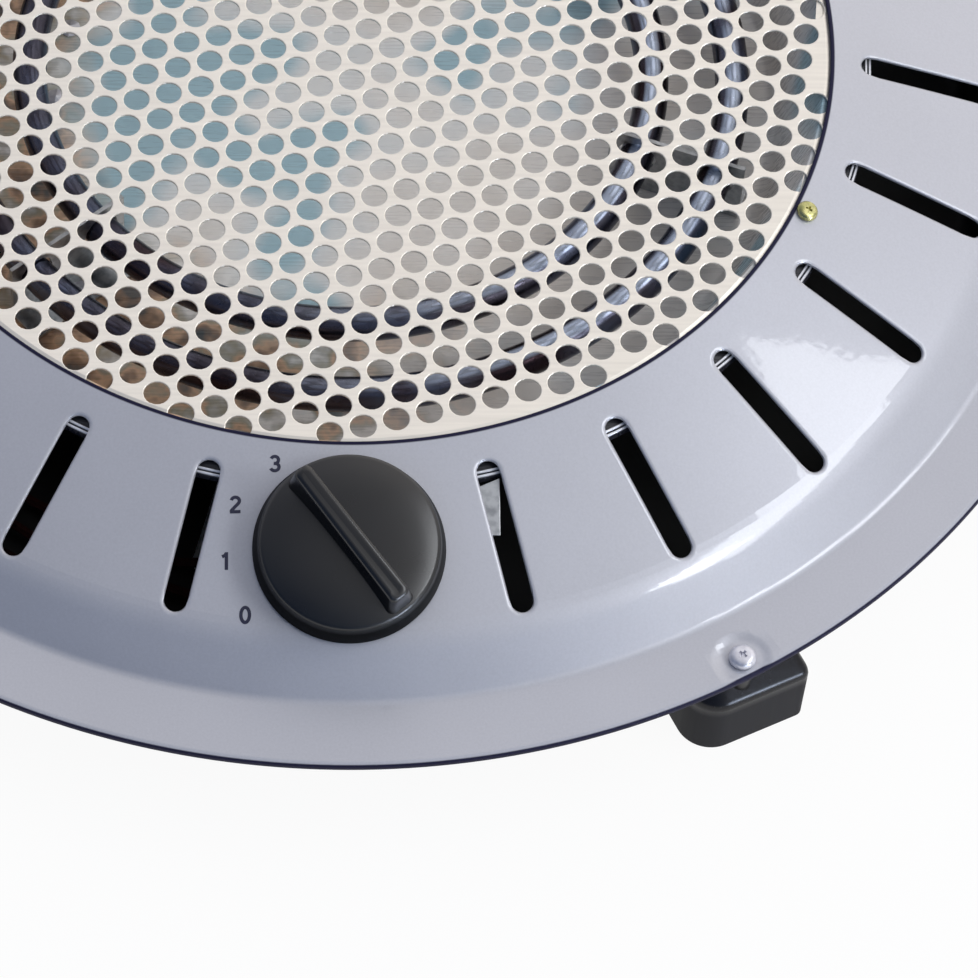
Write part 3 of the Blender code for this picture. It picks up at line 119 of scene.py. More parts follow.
PAN_LIP_DROP = 0.0016
PAN_BEND = 0.004

# Lower casing
CASING_SHEET = 0.0007
CASING_CLEARANCE = 0.006
CASING_FLANGE_RADIUS = RIM_RADIUS - 0.0015
CASING_MOUTH_RADIUS = CREASE_RADIUS - 0.0033
CASING_FLOOR_RADIUS = CASING_MOUTH_RADIUS - 0.0132
CASING_DISC_RADIUS = CASING_FLOOR_RADIUS - 0.006
CASING_BEND = 0.005
CASING_MOUTH_BEND = 0.0012
VENT_PLACES = 12
VENT_WIDTH = 0.006
VENT_OUTER_RADIUS = CASING_FLOOR_RADIUS - 0.028
VENT_INNER_RADIUS = VENT_OUTER_RADIUS - 0.036
VENT_STEPS = 24.0

# Feet and their screws
FOOT_COMPASSES = [math.radians(29.1 + 120.0 * turn) for turn in range(3)]
FOOT_SCREW_RADIUS = RIM_RADIUS - 0.0047
FOOT_SCREW_HEAD = (0.0032, 0.0022)
FOOT_SCREW_SHANK = (0.0014, 0.016)
FOOT_SCREW_TURN = 0.4
FOOT_TWIST = math.radians(4.2)
FOOT_OUTER_REACH = 0.0053
FOOT_INNER_REACH = 0.0125
FOOT_LEFT_REACH = 0.0126
FOOT_RIGHT_REACH = 0.0170
FOOT_LEFT_CORNER = 0.0085
FOOT_CORNER = 0.0022
FOOT_SIDE_HEIGHT = 0.019
FOOT_CROWN_HEIGHT = 0.0055
FOOT_CROWN_WIDTH_SHARE = 0.84
FOOT_CROWN_DEPTH_SHARE = 0.69
FOOT_BOSS = 0.0034
FOOT_BASE_BREAK = 0.0006
FOOT_SHOULDER_BEND = 0.0035
FOOT_TOP_BEND = 0.0014
DIMPLE_RADIUS = 0.0072
DIMPLE_DEPTH = 0.00028

# Heating elements
TUBE_RADIUS = 0.00425
TUBE_HEIGHT = 0.038
OUTER_ELEMENT_RADIUS = PAN_FLOOR_RADIUS - 0.012
INNER_ELEMENT_RADIUS = OUTER_ELEMENT_RADIUS - 0.020
ELEMENT_END_COMPASS = math.radians(230.0)
ELEMENT_END_SPREAD = 0.026
ELEMENT_BEND = 0.009
ELEMENT_LEG_END = 0.0175

# Knob and dial
KNOB_RADIAL_PLACE = OPENING_RADIUS + 0.025
KNOB_LIFT = 0.0008
KNOB_SHOULDER_RADIUS = 0.0208
KNOB_SHOULDER_HEIGHT = 0.0078
KNOB_WALL = 0.0022
KNOB_HOLLOW = KNOB_SHOULDER_HEIGHT - 0.0024
KNOB_HUB_RADIUS = 0.0056
KNOB_BORE_RADIUS = 0.003 + SEAT_GAP
KNOB_BORE_TOP = 0.0088
HUB_LIFT = 0.0038
KNOB_BENDS = [
    (0.0016, 6), (0.0004, 3), (0.0003, 2), (0.0008, 2), (0.0008, 2), (0.0003, 2),
    (0.0002, 2), (0.0002, 1),
]
RIB_EDGE = 0.0013
RIB_CORNER = 0.0016
RIB_NARROWING = 0.46
RIB_SHORTENING = 0.07
RIB_TAPER = 0.16
RIB_FRONT_DROP = 0.0030
DIAL_FIRST_ANGLE = math.radians(38.0)
DIAL_STEP = math.radians(27.6)
DIAL_START = math.radians(39.5)
DIAL_RADII = {"3": 0.0269, "2": 0.0285, "1": 0.0287, "0": 0.0283}
STROKE_SHARE = 0.19
INK_HEIGHT = 0.00004

# Heat shield: its lug shows through the slot beside the knob
SHIELD_SHEET = 0.0007
SHIELD_DEPTH = 0.003
SHIELD_HALF_WIDTH = 0.0155
SHIELD_OUTER_EDGE = 0.014
SHIELD_WALL_PLACE = 0.0130
SHIELD_WALL_HEIGHT = 0.018
SHIELD_LUG_REACH = 0.0352
SHIELD_LUG_OUTER = 0.0044
SHIELD_LUG_INNER = 0.0182
SHIELD_BORE = 0.005

# Camera, fitted to the rim, the slots and the holes of the photograph
CAMERA_AZIMUTH = math.radians(-6.114)
CAMERA_ELEVATION = math.radians(57.956)
CAMERA_ROLL = math.radians(-5.412)
CAMERA_TARGET = Vector((0.033828, -0.118349, RIM_HEIGHT))
CAMERA_DISTANCE = 1.15562
CAMERA_SENSOR = 36.0
CAMERA_LENS = 179.671

# The middle of a noise pattern, where most of its values lie
MIDDLE = (0.25, 0.75)

# Kinds of node that are used often; a mix of colours takes a mask at 0 and the two colours at 6 and 7
VECTOR_MATH = "ShaderNodeVectorMath"
RANGE = "ShaderNodeMapRange"
RAMP = "ShaderNodeValToRGB"
MIX = "ShaderNodeMix"
COMBINE = "ShaderNodeCombineXYZ"
SEPARATE = "ShaderNodeSeparateXYZ"
CIRCLE = "GeometryNodeCurvePrimitiveCircle"
JOIN = "GeometryNodeJoinGeometry"
MOVE = "GeometryNodeSetPosition"
REALIZE = "GeometryNodeRealizeInstances"


def linear(code):
    """A linear colour from an sRGB hex value."""
    values = [int(code[place:place + 2], 16) / 255.0 for place in (1, 3, 5)]
    return tuple(
        value / 12.92 if value <= 0.04045 else ((value + 0.055) / 1.055) ** 2.4 for value in values
    )


def compass(angle, radius, height):
    """The point at a compass angle from -Y towards +X."""
    return Vector((radius * math.sin(angle), -radius * math.cos(angle), height))


def compass_frame(angle, radius, height):
    """A frame at a compass place: X along the rim, Y inwards, Z up."""
    return Matrix.Translation(compass(angle, radius, height)) @ Matrix.Rotation(angle, 4, "Z")


def cone_height(radius):
    """The height of the ring's cone, on its upper face."""
    return RIM_HEIGHT + RING_RISE - (radius - OPENING_RADIUS) * math.tan(CONE_ANGLE)


def below_cone(radius, depth):
    """The height of a face that lies a square depth under the cone's upper face."""
    return cone_height(radius) - depth / math.cos(CONE_ANGLE)


def cone_frame(angle, radius):
    """A frame on the cone's upper face: X along the rim, Y up the slope, Z square out of it."""
    return compass_frame(angle, radius, cone_height(radius)) @ Matrix.Rotation(CONE_ANGLE, 4, "X")


GRILLE_DEPTH = RING_SHEET + SEAT_GAP
PAN_DEPTH = GRILLE_DEPTH + GRILLE_SHEET + SEAT_GAP
FIELD_HEIGHT = below_cone(FIELD_RADIUS, GRILLE_DEPTH)
CASING_FLANGE_HEIGHT = RIM_HEIGHT - RING_SHEET - SEAT_GAP - CASING_SHEET
KNOB_FRAME = cone_frame(0.0, KNOB_RADIAL_PLACE)


def length(name, description, default):
    """A setting in metres."""
    return FloatProperty(name=name, description=description, default=default, unit="LENGTH")


def tint(name, description, code):
    """A colour setting, from an sRGB hex value."""
    return FloatVectorProperty(
        name=name, description=description, default=linear(code), subtype="COLOR", size=3
    )


class RingSettings(bpy.types.PropertyGroup):
    """The pressed ring."""

    slot_width: length("Slot width", "Across an air slot", 0.0055)
    edge: length("Edge", "Rounding of the cut edges", 0.00038)
    paint: tint("Paint", "Silver-grey gloss paint", "#BEBFC6")


class GrilleSettings(bpy.types.PropertyGroup):
    """The perforated grille."""

    pitch: length("Pitch", "From one hole to the next", 0.008025)
    hole: length("Hole", "Radius of a hole", 0.0031)
    turn: FloatProperty(
        name="Turn", description="How far the rows are turned", default=math.radians(14.75),
        subtype="ANGLE",
    )
    edge: length("Edge", "Rolled edge of a punched hole", 0.00024)
    nickel: tint("Nickel", "Warm nickel plating", "#F5EFE3")


class HeatSettings(bpy.types.PropertyGroup):
    """The elements and the reflector pan under the grille."""

    sheath: tint("Sheath", "Blue-black oxide of a heated tube", "#55535F")
    reflector: tint("Reflector", "Bright rolled sheet", "#C9CBCA")
    pan_steps: IntProperty(name="Pan steps", description="Steps round the reflector pan", default=160)


class KnobSettings(bpy.types.PropertyGroup):
    """The four-step knob and its printed dial."""

    skirt: length("Skirt radius", "Outer radius of the knob", 0.0225)
    dome: length("Dome height", "Middle of the knob's face", 0.0104)
    rib_length: length("Rib length", "Length of the pointer rib", 0.0404)
    rib_width: length("Rib width", "Width of the rib's root", 0.0092)
    rib_height: length("Rib height", "Top of the rib", 0.0182)
    numeral: length("Numeral height", "Height of a printed numeral", 0.0042)
    plastic: tint("Plastic", "Black moulded plastic", "#0B0B0D")


class StageSettings(bpy.types.PropertyGroup):
    """The studio."""

    floor: tint("Floor", "Plain pale floor", "#F8F8F8")
    left_sky: tint("Left sky", "Dimmer light from the left", "#A2A6B2")
    right_sky: tint("Right sky", "Brighter light from the right", "#DADADD")
    sky_strength: FloatProperty(
        name="Sky strength", description="Strength of the plain sky", default=1.0
    )
    key_power: FloatProperty(
        name="Window lamp", description="Power of the window lamp", default=5.0, unit="POWER"
    )


def plug(tree, socket, value):
    """Set an input, or link it to a socket, to a node's first open output or to a list of these."""
    if isinstance(value, list):
        for item in value:
            plug(tree, socket, item)
        return
    if isinstance(value, bpy.types.Node):
        value = next(output for output in value.outputs if output.enabled)
    if isinstance(value, bpy.types.NodeSocket):
        tree.links.new(value, socket)
    elif socket.type == "RGBA":
        socket.default_value = (*value[:3], 1.0)
    else:
        socket.default_value = value


def node(tree, kind, inputs=(), stops=(), **settings):
    """Add a node with its settings, its inputs in order or by name, and a ramp's colour stops.

    A kind in capitals is the operation of a Math node.
    """
    if kind.isupper():
        kind, settings["operation"] = "ShaderNodeMath", kind
    made = tree.nodes.new(kind)
    for key, value in settings.items():
        setattr(made, key, value)
    for socket, value in inputs.items() if isinstance(inputs, dict) else enumerate(inputs):
        plug(tree, made.inputs[socket], value)
    elements = made.color_ramp.elements if stops else []
    while len(elements) < len(stops):
        elements.new(0.5)
    for element, (place, color) in zip(elements, stops):
        element.position = place
        element.color = (*color, 1.0)
    return made


def new_finish(name, color, roughness, metallic=0.0, **inputs):
    """A material with its plain values, and the tree and the shader to add to."""
    made = bpy.data.materials.new(name)
    made.use_nodes = True
    made.diffuse_color = (*color, 1.0)
    tree = made.node_tree
    shader = tree.nodes["Principled BSDF"]
    feed(tree, shader, base_color=color, roughness=roughness, metallic=metallic, **inputs)
    return made, tree, shader


def feed(tree, shader, **inputs):
    """Set or link a shader's inputs, named in lower case with underscores."""
    for key, value in inputs.items():
        plug(tree, shader.inputs[key.replace("_", " ").title().replace("Ior", "IOR")], value)


def bump(tree, shader, height, depth):
    """Relief of a real depth in metres, on top of the relief that the shader has."""
    made = node(tree, "ShaderNodeBump", {"Height": height, "Distance": depth})
    for before in shader.inputs["Normal"].links:
        tree.links.new(before.from_socket, made.inputs["Normal"])
    feed(tree, shader, normal=made)


def pattern(tree, size, detail=2.0, stretch=(1.0, 1.0, 1.0)):
    """Noise on Object coordinates whose lumps are about one size across, in metres."""
    place = node(tree, "ShaderNodeTexCoord").outputs["Object"]
    scale = tuple(value / size for value in stretch)
    scaled = node(tree, "ShaderNodeMapping", {"Vector": place, "Scale": scale})
    return node(tree, "ShaderNodeTexNoise", {"Vector": scaled, "Scale": 1.0, "Detail": detail})


def shade(color, factor):
    """A colour made darker or lighter."""
    return tuple(min(1.0, value * factor) for value in color)


def reach_from_axis(tree):
    """The distance from the heater's axis, and the three parts of the place."""
    place = node(tree, "ShaderNodeTexCoord").outputs["Object"]
    parts = node(tree, SEPARATE, (place,)).outputs
    flat = node(tree, COMBINE, (parts["X"], parts["Y"]))
    return node(tree, VECTOR_MATH, (flat,), operation="LENGTH"), parts


def nearest_place(tree, places, first):
    """The nearest of equal places round the axis: its number, and the way across it and out to it."""
    reach, parts = reach_from_axis(tree)
    front = node(tree, "MULTIPLY", (parts["Y"], -1.0))
    turn = node(tree, "ARCTAN2", (parts["X"], front))
    turn = node(tree, "SUBTRACT", (turn, first))
    step = math.tau / places
    number = node(tree, "ROUND", [node(tree, "DIVIDE", (turn, step))])
    whole = node(tree, "MULTIPLY", (number, step))
    local = node(tree, "SUBTRACT", (turn, whole))
    across, out = (
        node(tree, "MULTIPLY", (reach, node(tree, wave, (local,))))
        for wave in ("SINE", "COSINE")
    )
    return number, across, out


def slot_roll(tree):
    """The rolled edge round each air slot: 0 beside the slot, 1 where the sheet is flat again."""
    number, across, out = nearest_place(tree, SLOT_PLACES, 0.0)
    half = bpy.context.scene.brazier_ring.slot_width / 2.0
    nearest = node(tree, "MAXIMUM", (out, SLOT_INNER_RADIUS + half))
    nearest = node(tree, "MINIMUM", (nearest, SLOT_OUTER_RADIUS - half))
    along = node(tree, "SUBTRACT", (out, nearest))
    gap = node(tree, VECTOR_MATH, [node(tree, COMBINE, (across, along))], operation="LENGTH")
    rest = node(tree, RANGE, (gap, half, half + SLOT_ROLL, 1.0, 0.0))
    fall = node(tree, "MULTIPLY", (rest, rest))
    count = node(tree, "ABSOLUTE", (number,))
    slotted = node(tree, "GREATER_THAN", (count, 0.5))
    fall = node(tree, "MULTIPLY", (fall, slotted))
    return node(tree, "SUBTRACT", (1.0, fall))


def screw_draw(tree):
    """Where a foot screw has drawn the flange down: 0 in the dimple, 1 outside it."""
    _, across, out = nearest_place(tree, len(FOOT_COMPASSES), FOOT_COMPASSES[0])
    along = node(tree, "SUBTRACT", (out, FOOT_SCREW_RADIUS))
    gap = node(tree, VECTOR_MATH, [node(tree, COMBINE, (across, along))], operation="LENGTH")
    ends = (DIMPLE_RADIUS * 0.62, DIMPLE_RADIUS * 1.05)
    return node(tree, RANGE, (gap, *ends), interpolation_type="SMOOTHSTEP")


def gloss_paint():
    """Silver-grey stove enamel: a soft flake coat under a clear gloss that is slightly wavy.

    Painted shade darkens its sheared edge at the grille and its turned-down lip, which outlines the
    ring.
    """
    color = bpy.context.scene.brazier_ring.paint
    made, tree, shader = new_finish(
        "silver_grey_gloss_paint", color, 0.42, 0.3, coat_weight=1.0, coat_roughness=0.05
    )
    drift = pattern(tree, 0.05, 2.0)
    tone = node(tree, "ADD", (pattern(tree, 0.0006, 1.0), drift))
    tone = node(tree, "MULTIPLY", (tone, 0.5))
    paint = node(tree, RAMP, (tone,), [(0.35, shade(color, 0.96)), (0.65, shade(color, 1.04))])
    reach, parts = reach_from_axis(tree)
    # Painted shade: a dark line (#23223A) along the sheared edge at the grille and down the turned-down
    # lip, where the gap and the ring's shadow fall
    edge = node(tree, RANGE, (reach, OPENING_RADIUS + 0.0011, OPENING_RADIUS + 0.0008))
    rim = node(tree, RANGE, (reach, RIM_RADIUS - 0.0008, RIM_RADIUS - 0.0006))
    under = node(tree, RANGE, (parts["Z"], RIM_HEIGHT - 0.0002, RIM_HEIGHT - 0.0004))
    lip_shade = node(tree, "MULTIPLY", (rim, under))
    dark = node(tree, "MAXIMUM", (edge, lip_shade))
    outer = node(tree, RANGE, (reach, RIM_RADIUS - 0.0012, RIM_RADIUS - 0.0009))
    dull = node(tree, "MAXIMUM", (dark, outer))
    gloss = node(tree, "SUBTRACT", (1.0, dull))
    # The base colour carries the painted shade where dark is 1; the coat and the shine also fade out
    # there and towards the rim
    feed(
        tree, shader, coat_weight=gloss,
        base_color=node(tree, MIX, {0: dark, 6: paint, 7: linear("#23223A")}, data_type="RGBA"),
        metallic=node(tree, "MULTIPLY", (gloss, 0.3)),
        specular_ior_level=node(tree, "MULTIPLY_ADD", (gloss, 0.4, 0.1)),
        roughness=node(tree, RANGE, (drift, *MIDDLE, 0.38, 0.46)),
    )
    bump(tree, shader, slot_roll(tree), 0.0003)
    bump(tree, shader, screw_draw(tree), 0.0004)
    wave = node(tree, "MULTIPLY_ADD", (drift, 30.0, pattern(tree, 0.0022, 1.5)))
    bump(tree, shader, wave, 0.00001)
    feed(tree, shader, coat_normal=shader.inputs["Normal"].links[0].from_socket)
    return made


def nickel_sheet():
    """Nickel-plated perforated steel: a warm satin sheet with faint rolling streaks."""
    color = bpy.context.scene.brazier_grille.nickel
    made, tree, shader = new_finish("warm_nickel_plating", color, 0.34, 0.62)
    streaks = pattern(tree, 0.006, 3.0, stretch=(0.25, 6.0, 1.0))
    feed(
        tree, shader, roughness=node(tree, RANGE, (pattern(tree, 0.012), *MIDDLE, 0.28, 0.4)),
        base_color=node(tree, RAMP, (streaks,), [(0.3, shade(color, 0.94)), (0.7, shade(color, 1.05))]),
    )
    bump(tree, shader, streaks, 0.000006)
    return made


def bright_sheet():
    """Bright rolled aluminium, tinted by heat: turquoise and straw, with brown clouds on one side.

    Painted shade darkens its flange where it lies under the ring, and painted highlights brighten the
    crests of its ridged hem, with dark lines between them.
    """
    made, tree, shader = new_finish(
        "bright_reflector_sheet", bpy.context.scene.brazier_heat.reflector, 0.28, 0.12
    )
    reach, parts = reach_from_axis(tree)
    soft = pattern(tree, 0.045, 1.5)
    calm, heated = (
        node(tree, RAMP, (source,), [(place, linear(code)) for place, code in stops])
        for source, stops in (
            (soft, [(0.42, "#B2D2DC"), (0.48, "#F2F5F4"), (0.56, "#FAF6F0"), (0.68, "#F0E8DE")]),
            (pattern(tree, 0.011, 3.0), [
                (0.32, "#3A2E27"), (0.40, "#A27650"), (0.47, "#EBBC90"),
                (0.54, "#B3A68A"), (0.60, "#D2CDC4"), (0.66, "#FFFBF5"),
            ]),
        )
    )
    side = node(tree, "MULTIPLY_ADD", (soft, 0.06, parts["X"]))
    side = node(tree, RANGE, (side, 0.075, 0.02))
    hot = node(tree, "MULTIPLY_ADD", (soft, 0.03, reach))
    hot = node(tree, RANGE, (hot, 0.074, 0.088, 0.0, 0.85))
    side = node(tree, "MULTIPLY", (side, hot))
    sheet = node(tree, MIX, {0: side, 6: calm, 7: heated}, data_type="RGBA")
    # Painted shade: the flange beyond the pan's mouth is darkened nearly to black (#26262B) where the
    # ring shades it
    flange = node(tree, RANGE, (reach, PAN_MOUTH_RADIUS, PAN_MOUTH_RADIUS + 0.002))
    sheet = node(tree, MIX, {0: flange, 6: sheet, 7: linear("#26262B")}, data_type="RGBA")
    # Painted highlights on the crests of the hem's ridges (#F0F0F4), with painted shade in the grooves
    # between them (#3A3A42)
    hem = node(tree, RANGE, (reach, PAN_FLANGE_RADIUS - 0.0020, PAN_FLANGE_RADIUS - 0.0017))
    ridge = node(tree, "SUBTRACT", (reach, PAN_FLANGE_RADIUS))
    ridge = node(tree, "DIVIDE", (ridge, PAN_HEM / math.tau))
    ridge = node(tree, "ABSOLUTE", (node(tree, "SINE", (ridge,)),))
    ridge = node(tree, RANGE, (ridge, 0.45, 0.85))
    hem_painted_highlights = node(tree, MIX, {0: ridge, 6: linear("#3A3A42"), 7: linear("#F0F0F4")}, data_type="RGBA")
    streaks = pattern(tree, 0.004, 4.0, stretch=(0.3, 5.0, 1.0))
    feed(
        tree, shader, roughness=node(tree, RANGE, (streaks, *MIDDLE, 0.24, 0.32)),
        base_color=node(tree, MIX, {0: hem, 6: sheet, 7: hem_painted_highlights}, data_type="RGBA"),
    )
    bump(tree, shader, pattern(tree, 0.014, 2.0), 0.0009)
    return made


def black_paint():
    """Black heat-resistant paint: a dry, slightly dusty matt coat."""
    color = linear("#1B1B1C")
    made, tree, shader = new_finish("black_heat_paint", color, 0.55)
    dust = pattern(tree, 0.02, 4.0)
    feed(
        tree, shader, roughness=node(tree, RANGE, (dust, *MIDDLE, 0.48, 0.66)),
        base_color=node(tree, RAMP, (dust,), [(0.35, color), (0.7, linear("#262625"))]),
    )
    bump(tree, shader, pattern(tree, 0.0008, 2.0), 0.00002)
    return made


def moulded_plastic():
    """Black thermoset moulding: a satin skin with the fine grain of its tool, duller round the skirt,
    where its colour is also darkened as painted shade.
    """
    color = bpy.context.scene.brazier_knob.plastic
    made, tree, shader = new_finish("black_moulded_plastic", color, 0.3, specular_ior_level=0.7)
    drift = pattern(tree, 0.015, 2.0)
    body = node(tree, RAMP, (drift,), [(0.3, shade(color, 0.85)), (0.7, shade(color, 1.2))])
    place = node(tree, "ShaderNodeTexCoord").outputs["Object"]
    centre, axis = tuple(KNOB_FRAME.translation), tuple(KNOB_FRAME.col[2][:3])
    away = node(tree, VECTOR_MATH, (place, centre), operation="SUBTRACT")
    away = node(tree, VECTOR_MATH, (away, axis), operation="CROSS_PRODUCT")
    away = node(tree, VECTOR_MATH, (away,), operation="LENGTH")
    skirt = node(tree, RANGE, (away, KNOB_SHOULDER_RADIUS - 0.0002, KNOB_SHOULDER_RADIUS + 0.0006))
    rough = node(tree, RANGE, (drift, *MIDDLE, 0.26, 0.32))
    # Painted shade: round the skirt the colour falls to 0.4 of the plastic, while its shine drops and
    # its roughness rises
    feed(
        tree, shader,
        base_color=node(tree, MIX, {0: skirt, 6: body, 7: shade(color, 0.4)}, data_type="RGBA"),
        specular_ior_level=node(tree, "MULTIPLY_ADD", (skirt, -0.65, 0.7)),
        roughness=node(tree, "MULTIPLY_ADD", (skirt, 0.25, rough)),
    )
    bump(tree, shader, pattern(tree, 0.0005, 2.0), 0.000004)
    return made


def foot_plastic():
    """Black thermoplastic: matt upright sides with drag lines from the tool, and smoother shoulders."""
    color = linear("#131216")
    made, tree, shader = new_finish("black_foot_plastic", color, 0.3, specular_ior_level=0.35)
    drag = pattern(tree, 0.0007, 2.0, stretch=(1.0, 1.0, 0.04))
    _, parts = reach_from_axis(tree)
    side = node(tree, RANGE, (parts["Z"], FOOT_SIDE_HEIGHT - 0.001, FOOT_SIDE_HEIGHT - 0.004))
    rough = node(tree, RANGE, (drag, *MIDDLE, 0.22, 0.28))
    feed(
        tree, shader,
        base_color=node(tree, RAMP, (drag,), [(0.3, shade(color, 0.8)), (0.7, shade(color, 1.3))]),
        roughness=node(tree, "MULTIPLY_ADD", (side, 0.45, rough)),
    )
    bump(tree, shader, drag, 0.000001)
    return made


def sheath_steel():
    """Oxidised stainless sheath: blue-black with violet heat bands, and a silvery painted highlight
    along the top of the tubes on their right-hand side.
    """
    color = bpy.context.scene.brazier_heat.sheath
    made, tree, shader = new_finish("oxidised_sheath_steel", color, 0.2, 1.0)
    bands = pattern(tree, 0.03, 2.0)
    stops = [
        (0.34, linear("#34292E")), (0.46, color), (0.58, linear("#5C6276")), (0.70, linear("#483C42")),
    ]
    _, parts = reach_from_axis(tree)
    # Painted highlight: a silvery band (#C9D6EC) along the top of each tube, towards +X where the
    # window lamp falls, broken up by the heat bands
    painted_top_highlight = 1.0
    for limits in (
        (parts["Z"], TUBE_HEIGHT + TUBE_RADIUS * 0.86, TUBE_HEIGHT + TUBE_RADIUS * 0.99),
        (parts["X"], -0.02, 0.05),
        (bands, 0.68, 0.55),
    ):
        painted_top_highlight = node(tree, "MULTIPLY", (painted_top_highlight, node(tree, RANGE, limits)))
    dark = node(tree, RAMP, (bands,), stops)
    feed(
        tree, shader, roughness=node(tree, RANGE, (pattern(tree, 0.006, 2.0), *MIDDLE, 0.24, 0.3)),
        base_color=node(tree, MIX, {0: painted_top_highlight, 6: dark, 7: linear("#C9D6EC")}, data_type="RGBA"),
    )
    bump(tree, shader, pattern(tree, 0.0016, 1.0), 0.000002)
    return made


def plated(name, code, roughness, cloud, metallic=1.0):
    """Zinc, brass or galvanised metal: a bright plating with cloudy spangle."""
    color = linear(code)
    made, tree, shader = new_finish(name, color, roughness, metallic)
    clouds = pattern(tree, 0.0018, 3.0)
    feed(
        tree, shader, roughness=node(tree, RANGE, (clouds, *MIDDLE, roughness * 0.8, roughness * 1.3)),
        base_color=node(tree, RAMP, (clouds,), [(0.3, linear(cloud)), (0.6, color)]),
    )
    bump(tree, shader, clouds, 0.000006)
    return made


def dry_solid(name, code, roughness, speck, grain):
    """Ceramic, nylon, phenolic or silicone: a plain body with a fine dry grain."""
    color = linear(code)
    made, tree, shader = new_finish(name, color, roughness)
    specks = pattern(tree, grain, 3.0)
    feed(tree, shader, base_color=node(tree, RAMP, (specks,), [(0.3, linear(speck)), (0.6, color)]))
    bump(tree, shader, specks, grain * 0.02)
    return made


def dial_ink():
    """Blue-black pad-printed ink: a fine film, satin and slightly uneven."""
    color = linear("#20213A")
    made, tree, shader = new_finish("dial_ink", color, 0.4)
    film = pattern(tree, 0.0006, 3.0)
    feed(tree, shader, base_color=node(tree, RAMP, (film,), [(0.3, color), (0.8, linear("#34354C"))]))
    return made


FINISHES = {
    "ring_paint": (gloss_paint,),
    "grille_nickel": (nickel_sheet,),
    "reflector": (bright_sheet,),
    "casing_paint": (black_paint,),
    "black_plastic": (moulded_plastic,),
    "foot_plastic": (foot_plastic,),
    "element_sheath": (sheath_steel,),
    "dial_ink": (dial_ink,),
    "bright_zinc": (plated, "bright_zinc_plating", "#E4E4EA", 0.34, "#C9C9D2", 0.6),
    "yellow_zinc": (plated, "yellow_passivated_zinc", "#CFC98E", 0.26, "#9EA06A"),
    "galvanised": (plated, "galvanised_sheet", "#C6C8C9", 0.36, "#A4A7AA"),
    "brass": (plated, "plain_brass", "#C9A566", 0.32, "#A98447"),
    "steatite": (dry_solid, "unglazed_steatite", "#E3DDCF", 0.5, "#D3CBB9", 0.0006),
    "phenolic": (dry_solid, "brown_phenolic", "#4A3226", 0.42, "#3B271D", 0.0007),
    "nylon": (dry_solid, "natural_nylon", "#E4E2DA", 0.45, "#D8D5CA", 0.0012),
    "wire_red": (dry_solid, "red_silicone", "#40120E", 0.6, "#300D0A", 0.0010),
    "wire_blue": (dry_solid, "blue_silicone", "#27458C", 0.5, "#203A78", 0.0010),
    "wire_green": (dry_solid, "green_silicone", "#3C7A43", 0.5, "#326838", 0.0010),
}
MADE_FINISHES = {}


def finish(slot):
    """The material of a slot, made the first time that it is asked for."""
    if slot not in MADE_FINISHES:
        make, *values = FINISHES[slot]
        MADE_FINISHES[slot] = make(*values)
    return MADE_FINISHES[slot]


def keep(part, slot, body, *replaced):
    """Hang a finished piece on the body that it rides on, and hide the nodes that it stands for; slot
    is not used.
    """
    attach(part, body)
    if replaced:
        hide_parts(*replaced)
    return part


def place_object(name, data):
    """A new object in the scene."""
    made = bpy.data.objects.new(name, data)
    bpy.context.scene.collection.objects.link(made)
    return made


def discard(part):
    """Remove an object with its mesh or curve."""
    data = part.data
    bpy.data.objects.remove(part, do_unlink=True)
    (bpy.data.meshes if isinstance(data, bpy.types.Mesh) else bpy.data.curves).remove(data)


def mesh_part(name, points, faces, material):
    """A piece from points and faces."""
    mesh = bpy.data.meshes.new(name)
    mesh.from_pydata([tuple(point) for point in points], [], faces)
    if material is not None:
        mesh.materials.append(material)
    return place_object(name, mesh)


@contextlib.contextmanager
def worked(mesh):
    """The editable form of a mesh, put back into it at the end."""
    shape = bmesh.new()
    shape.from_mesh(mesh)
    yield shape
    shape.to_mesh(mesh)
    shape.free()


def merge(shape):
    """Join the points of a mesh that lie in one place."""
    bmesh.ops.remove_doubles(shape, verts=shape.verts, dist=MERGE)


def face(shape, way):
    """Turn a sheet's faces so that most look up, where way is 1, or down, where it is -1."""
    if sum(side.normal.z for side in shape.faces) * way < 0.0:
        bmesh.ops.reverse_faces(shape, faces=shape.faces)


def settle(part):
    """Apply a piece's modifiers and place to a plain mesh at the origin, shaded smooth.

    A softened piece keeps the normals that its own modifiers weigh.
    """
    softened = "normals" in part.modifiers
    bpy.context.view_layer.update()
    evaluated = part.evaluated_get(bpy.context.evaluated_depsgraph_get())
    mesh = bpy.data.meshes.new_from_object(evaluated)
    mesh.transform(part.matrix_world)
    name = part.name
    discard(part)
    mesh.name = name
    if not softened:
        mesh.shade_smooth()
        mesh.set_sharp_from_angle(angle=SMOOTH_ANGLE)
    return place_object(name, mesh)


def sheet(part, thickness, edge=0.0):
    """Give an open surface its metal, on the side away from its normals, and soften its edges."""
    wall = part.modifiers.new("sheet", "SOLIDIFY")
    wall.thickness = thickness
    wall.offset = -1.0
    wall.use_even_offset = True
    if edge:
        soft = part.modifiers.new("edge", "BEVEL")
        soft.width = edge
        soft.segments = 2
        soft.limit_method = "ANGLE"
        soft.angle_limit = SOFTEN_ANGLE
        soft.use_clamp_overlap = False
        part.modifiers.new("normals", "WEIGHTED_NORMAL").keep_sharp = True
    return settle(part)


def boolean(part, tool, operation):
    """Cut or join a piece with another, which is then removed."""
    step = part.modifiers.new(operation.lower(), "BOOLEAN")
    step.operation = operation
    step.solver = "EXACT"
    step.object = tool
    part = settle(part)
    discard(tool)
    return part


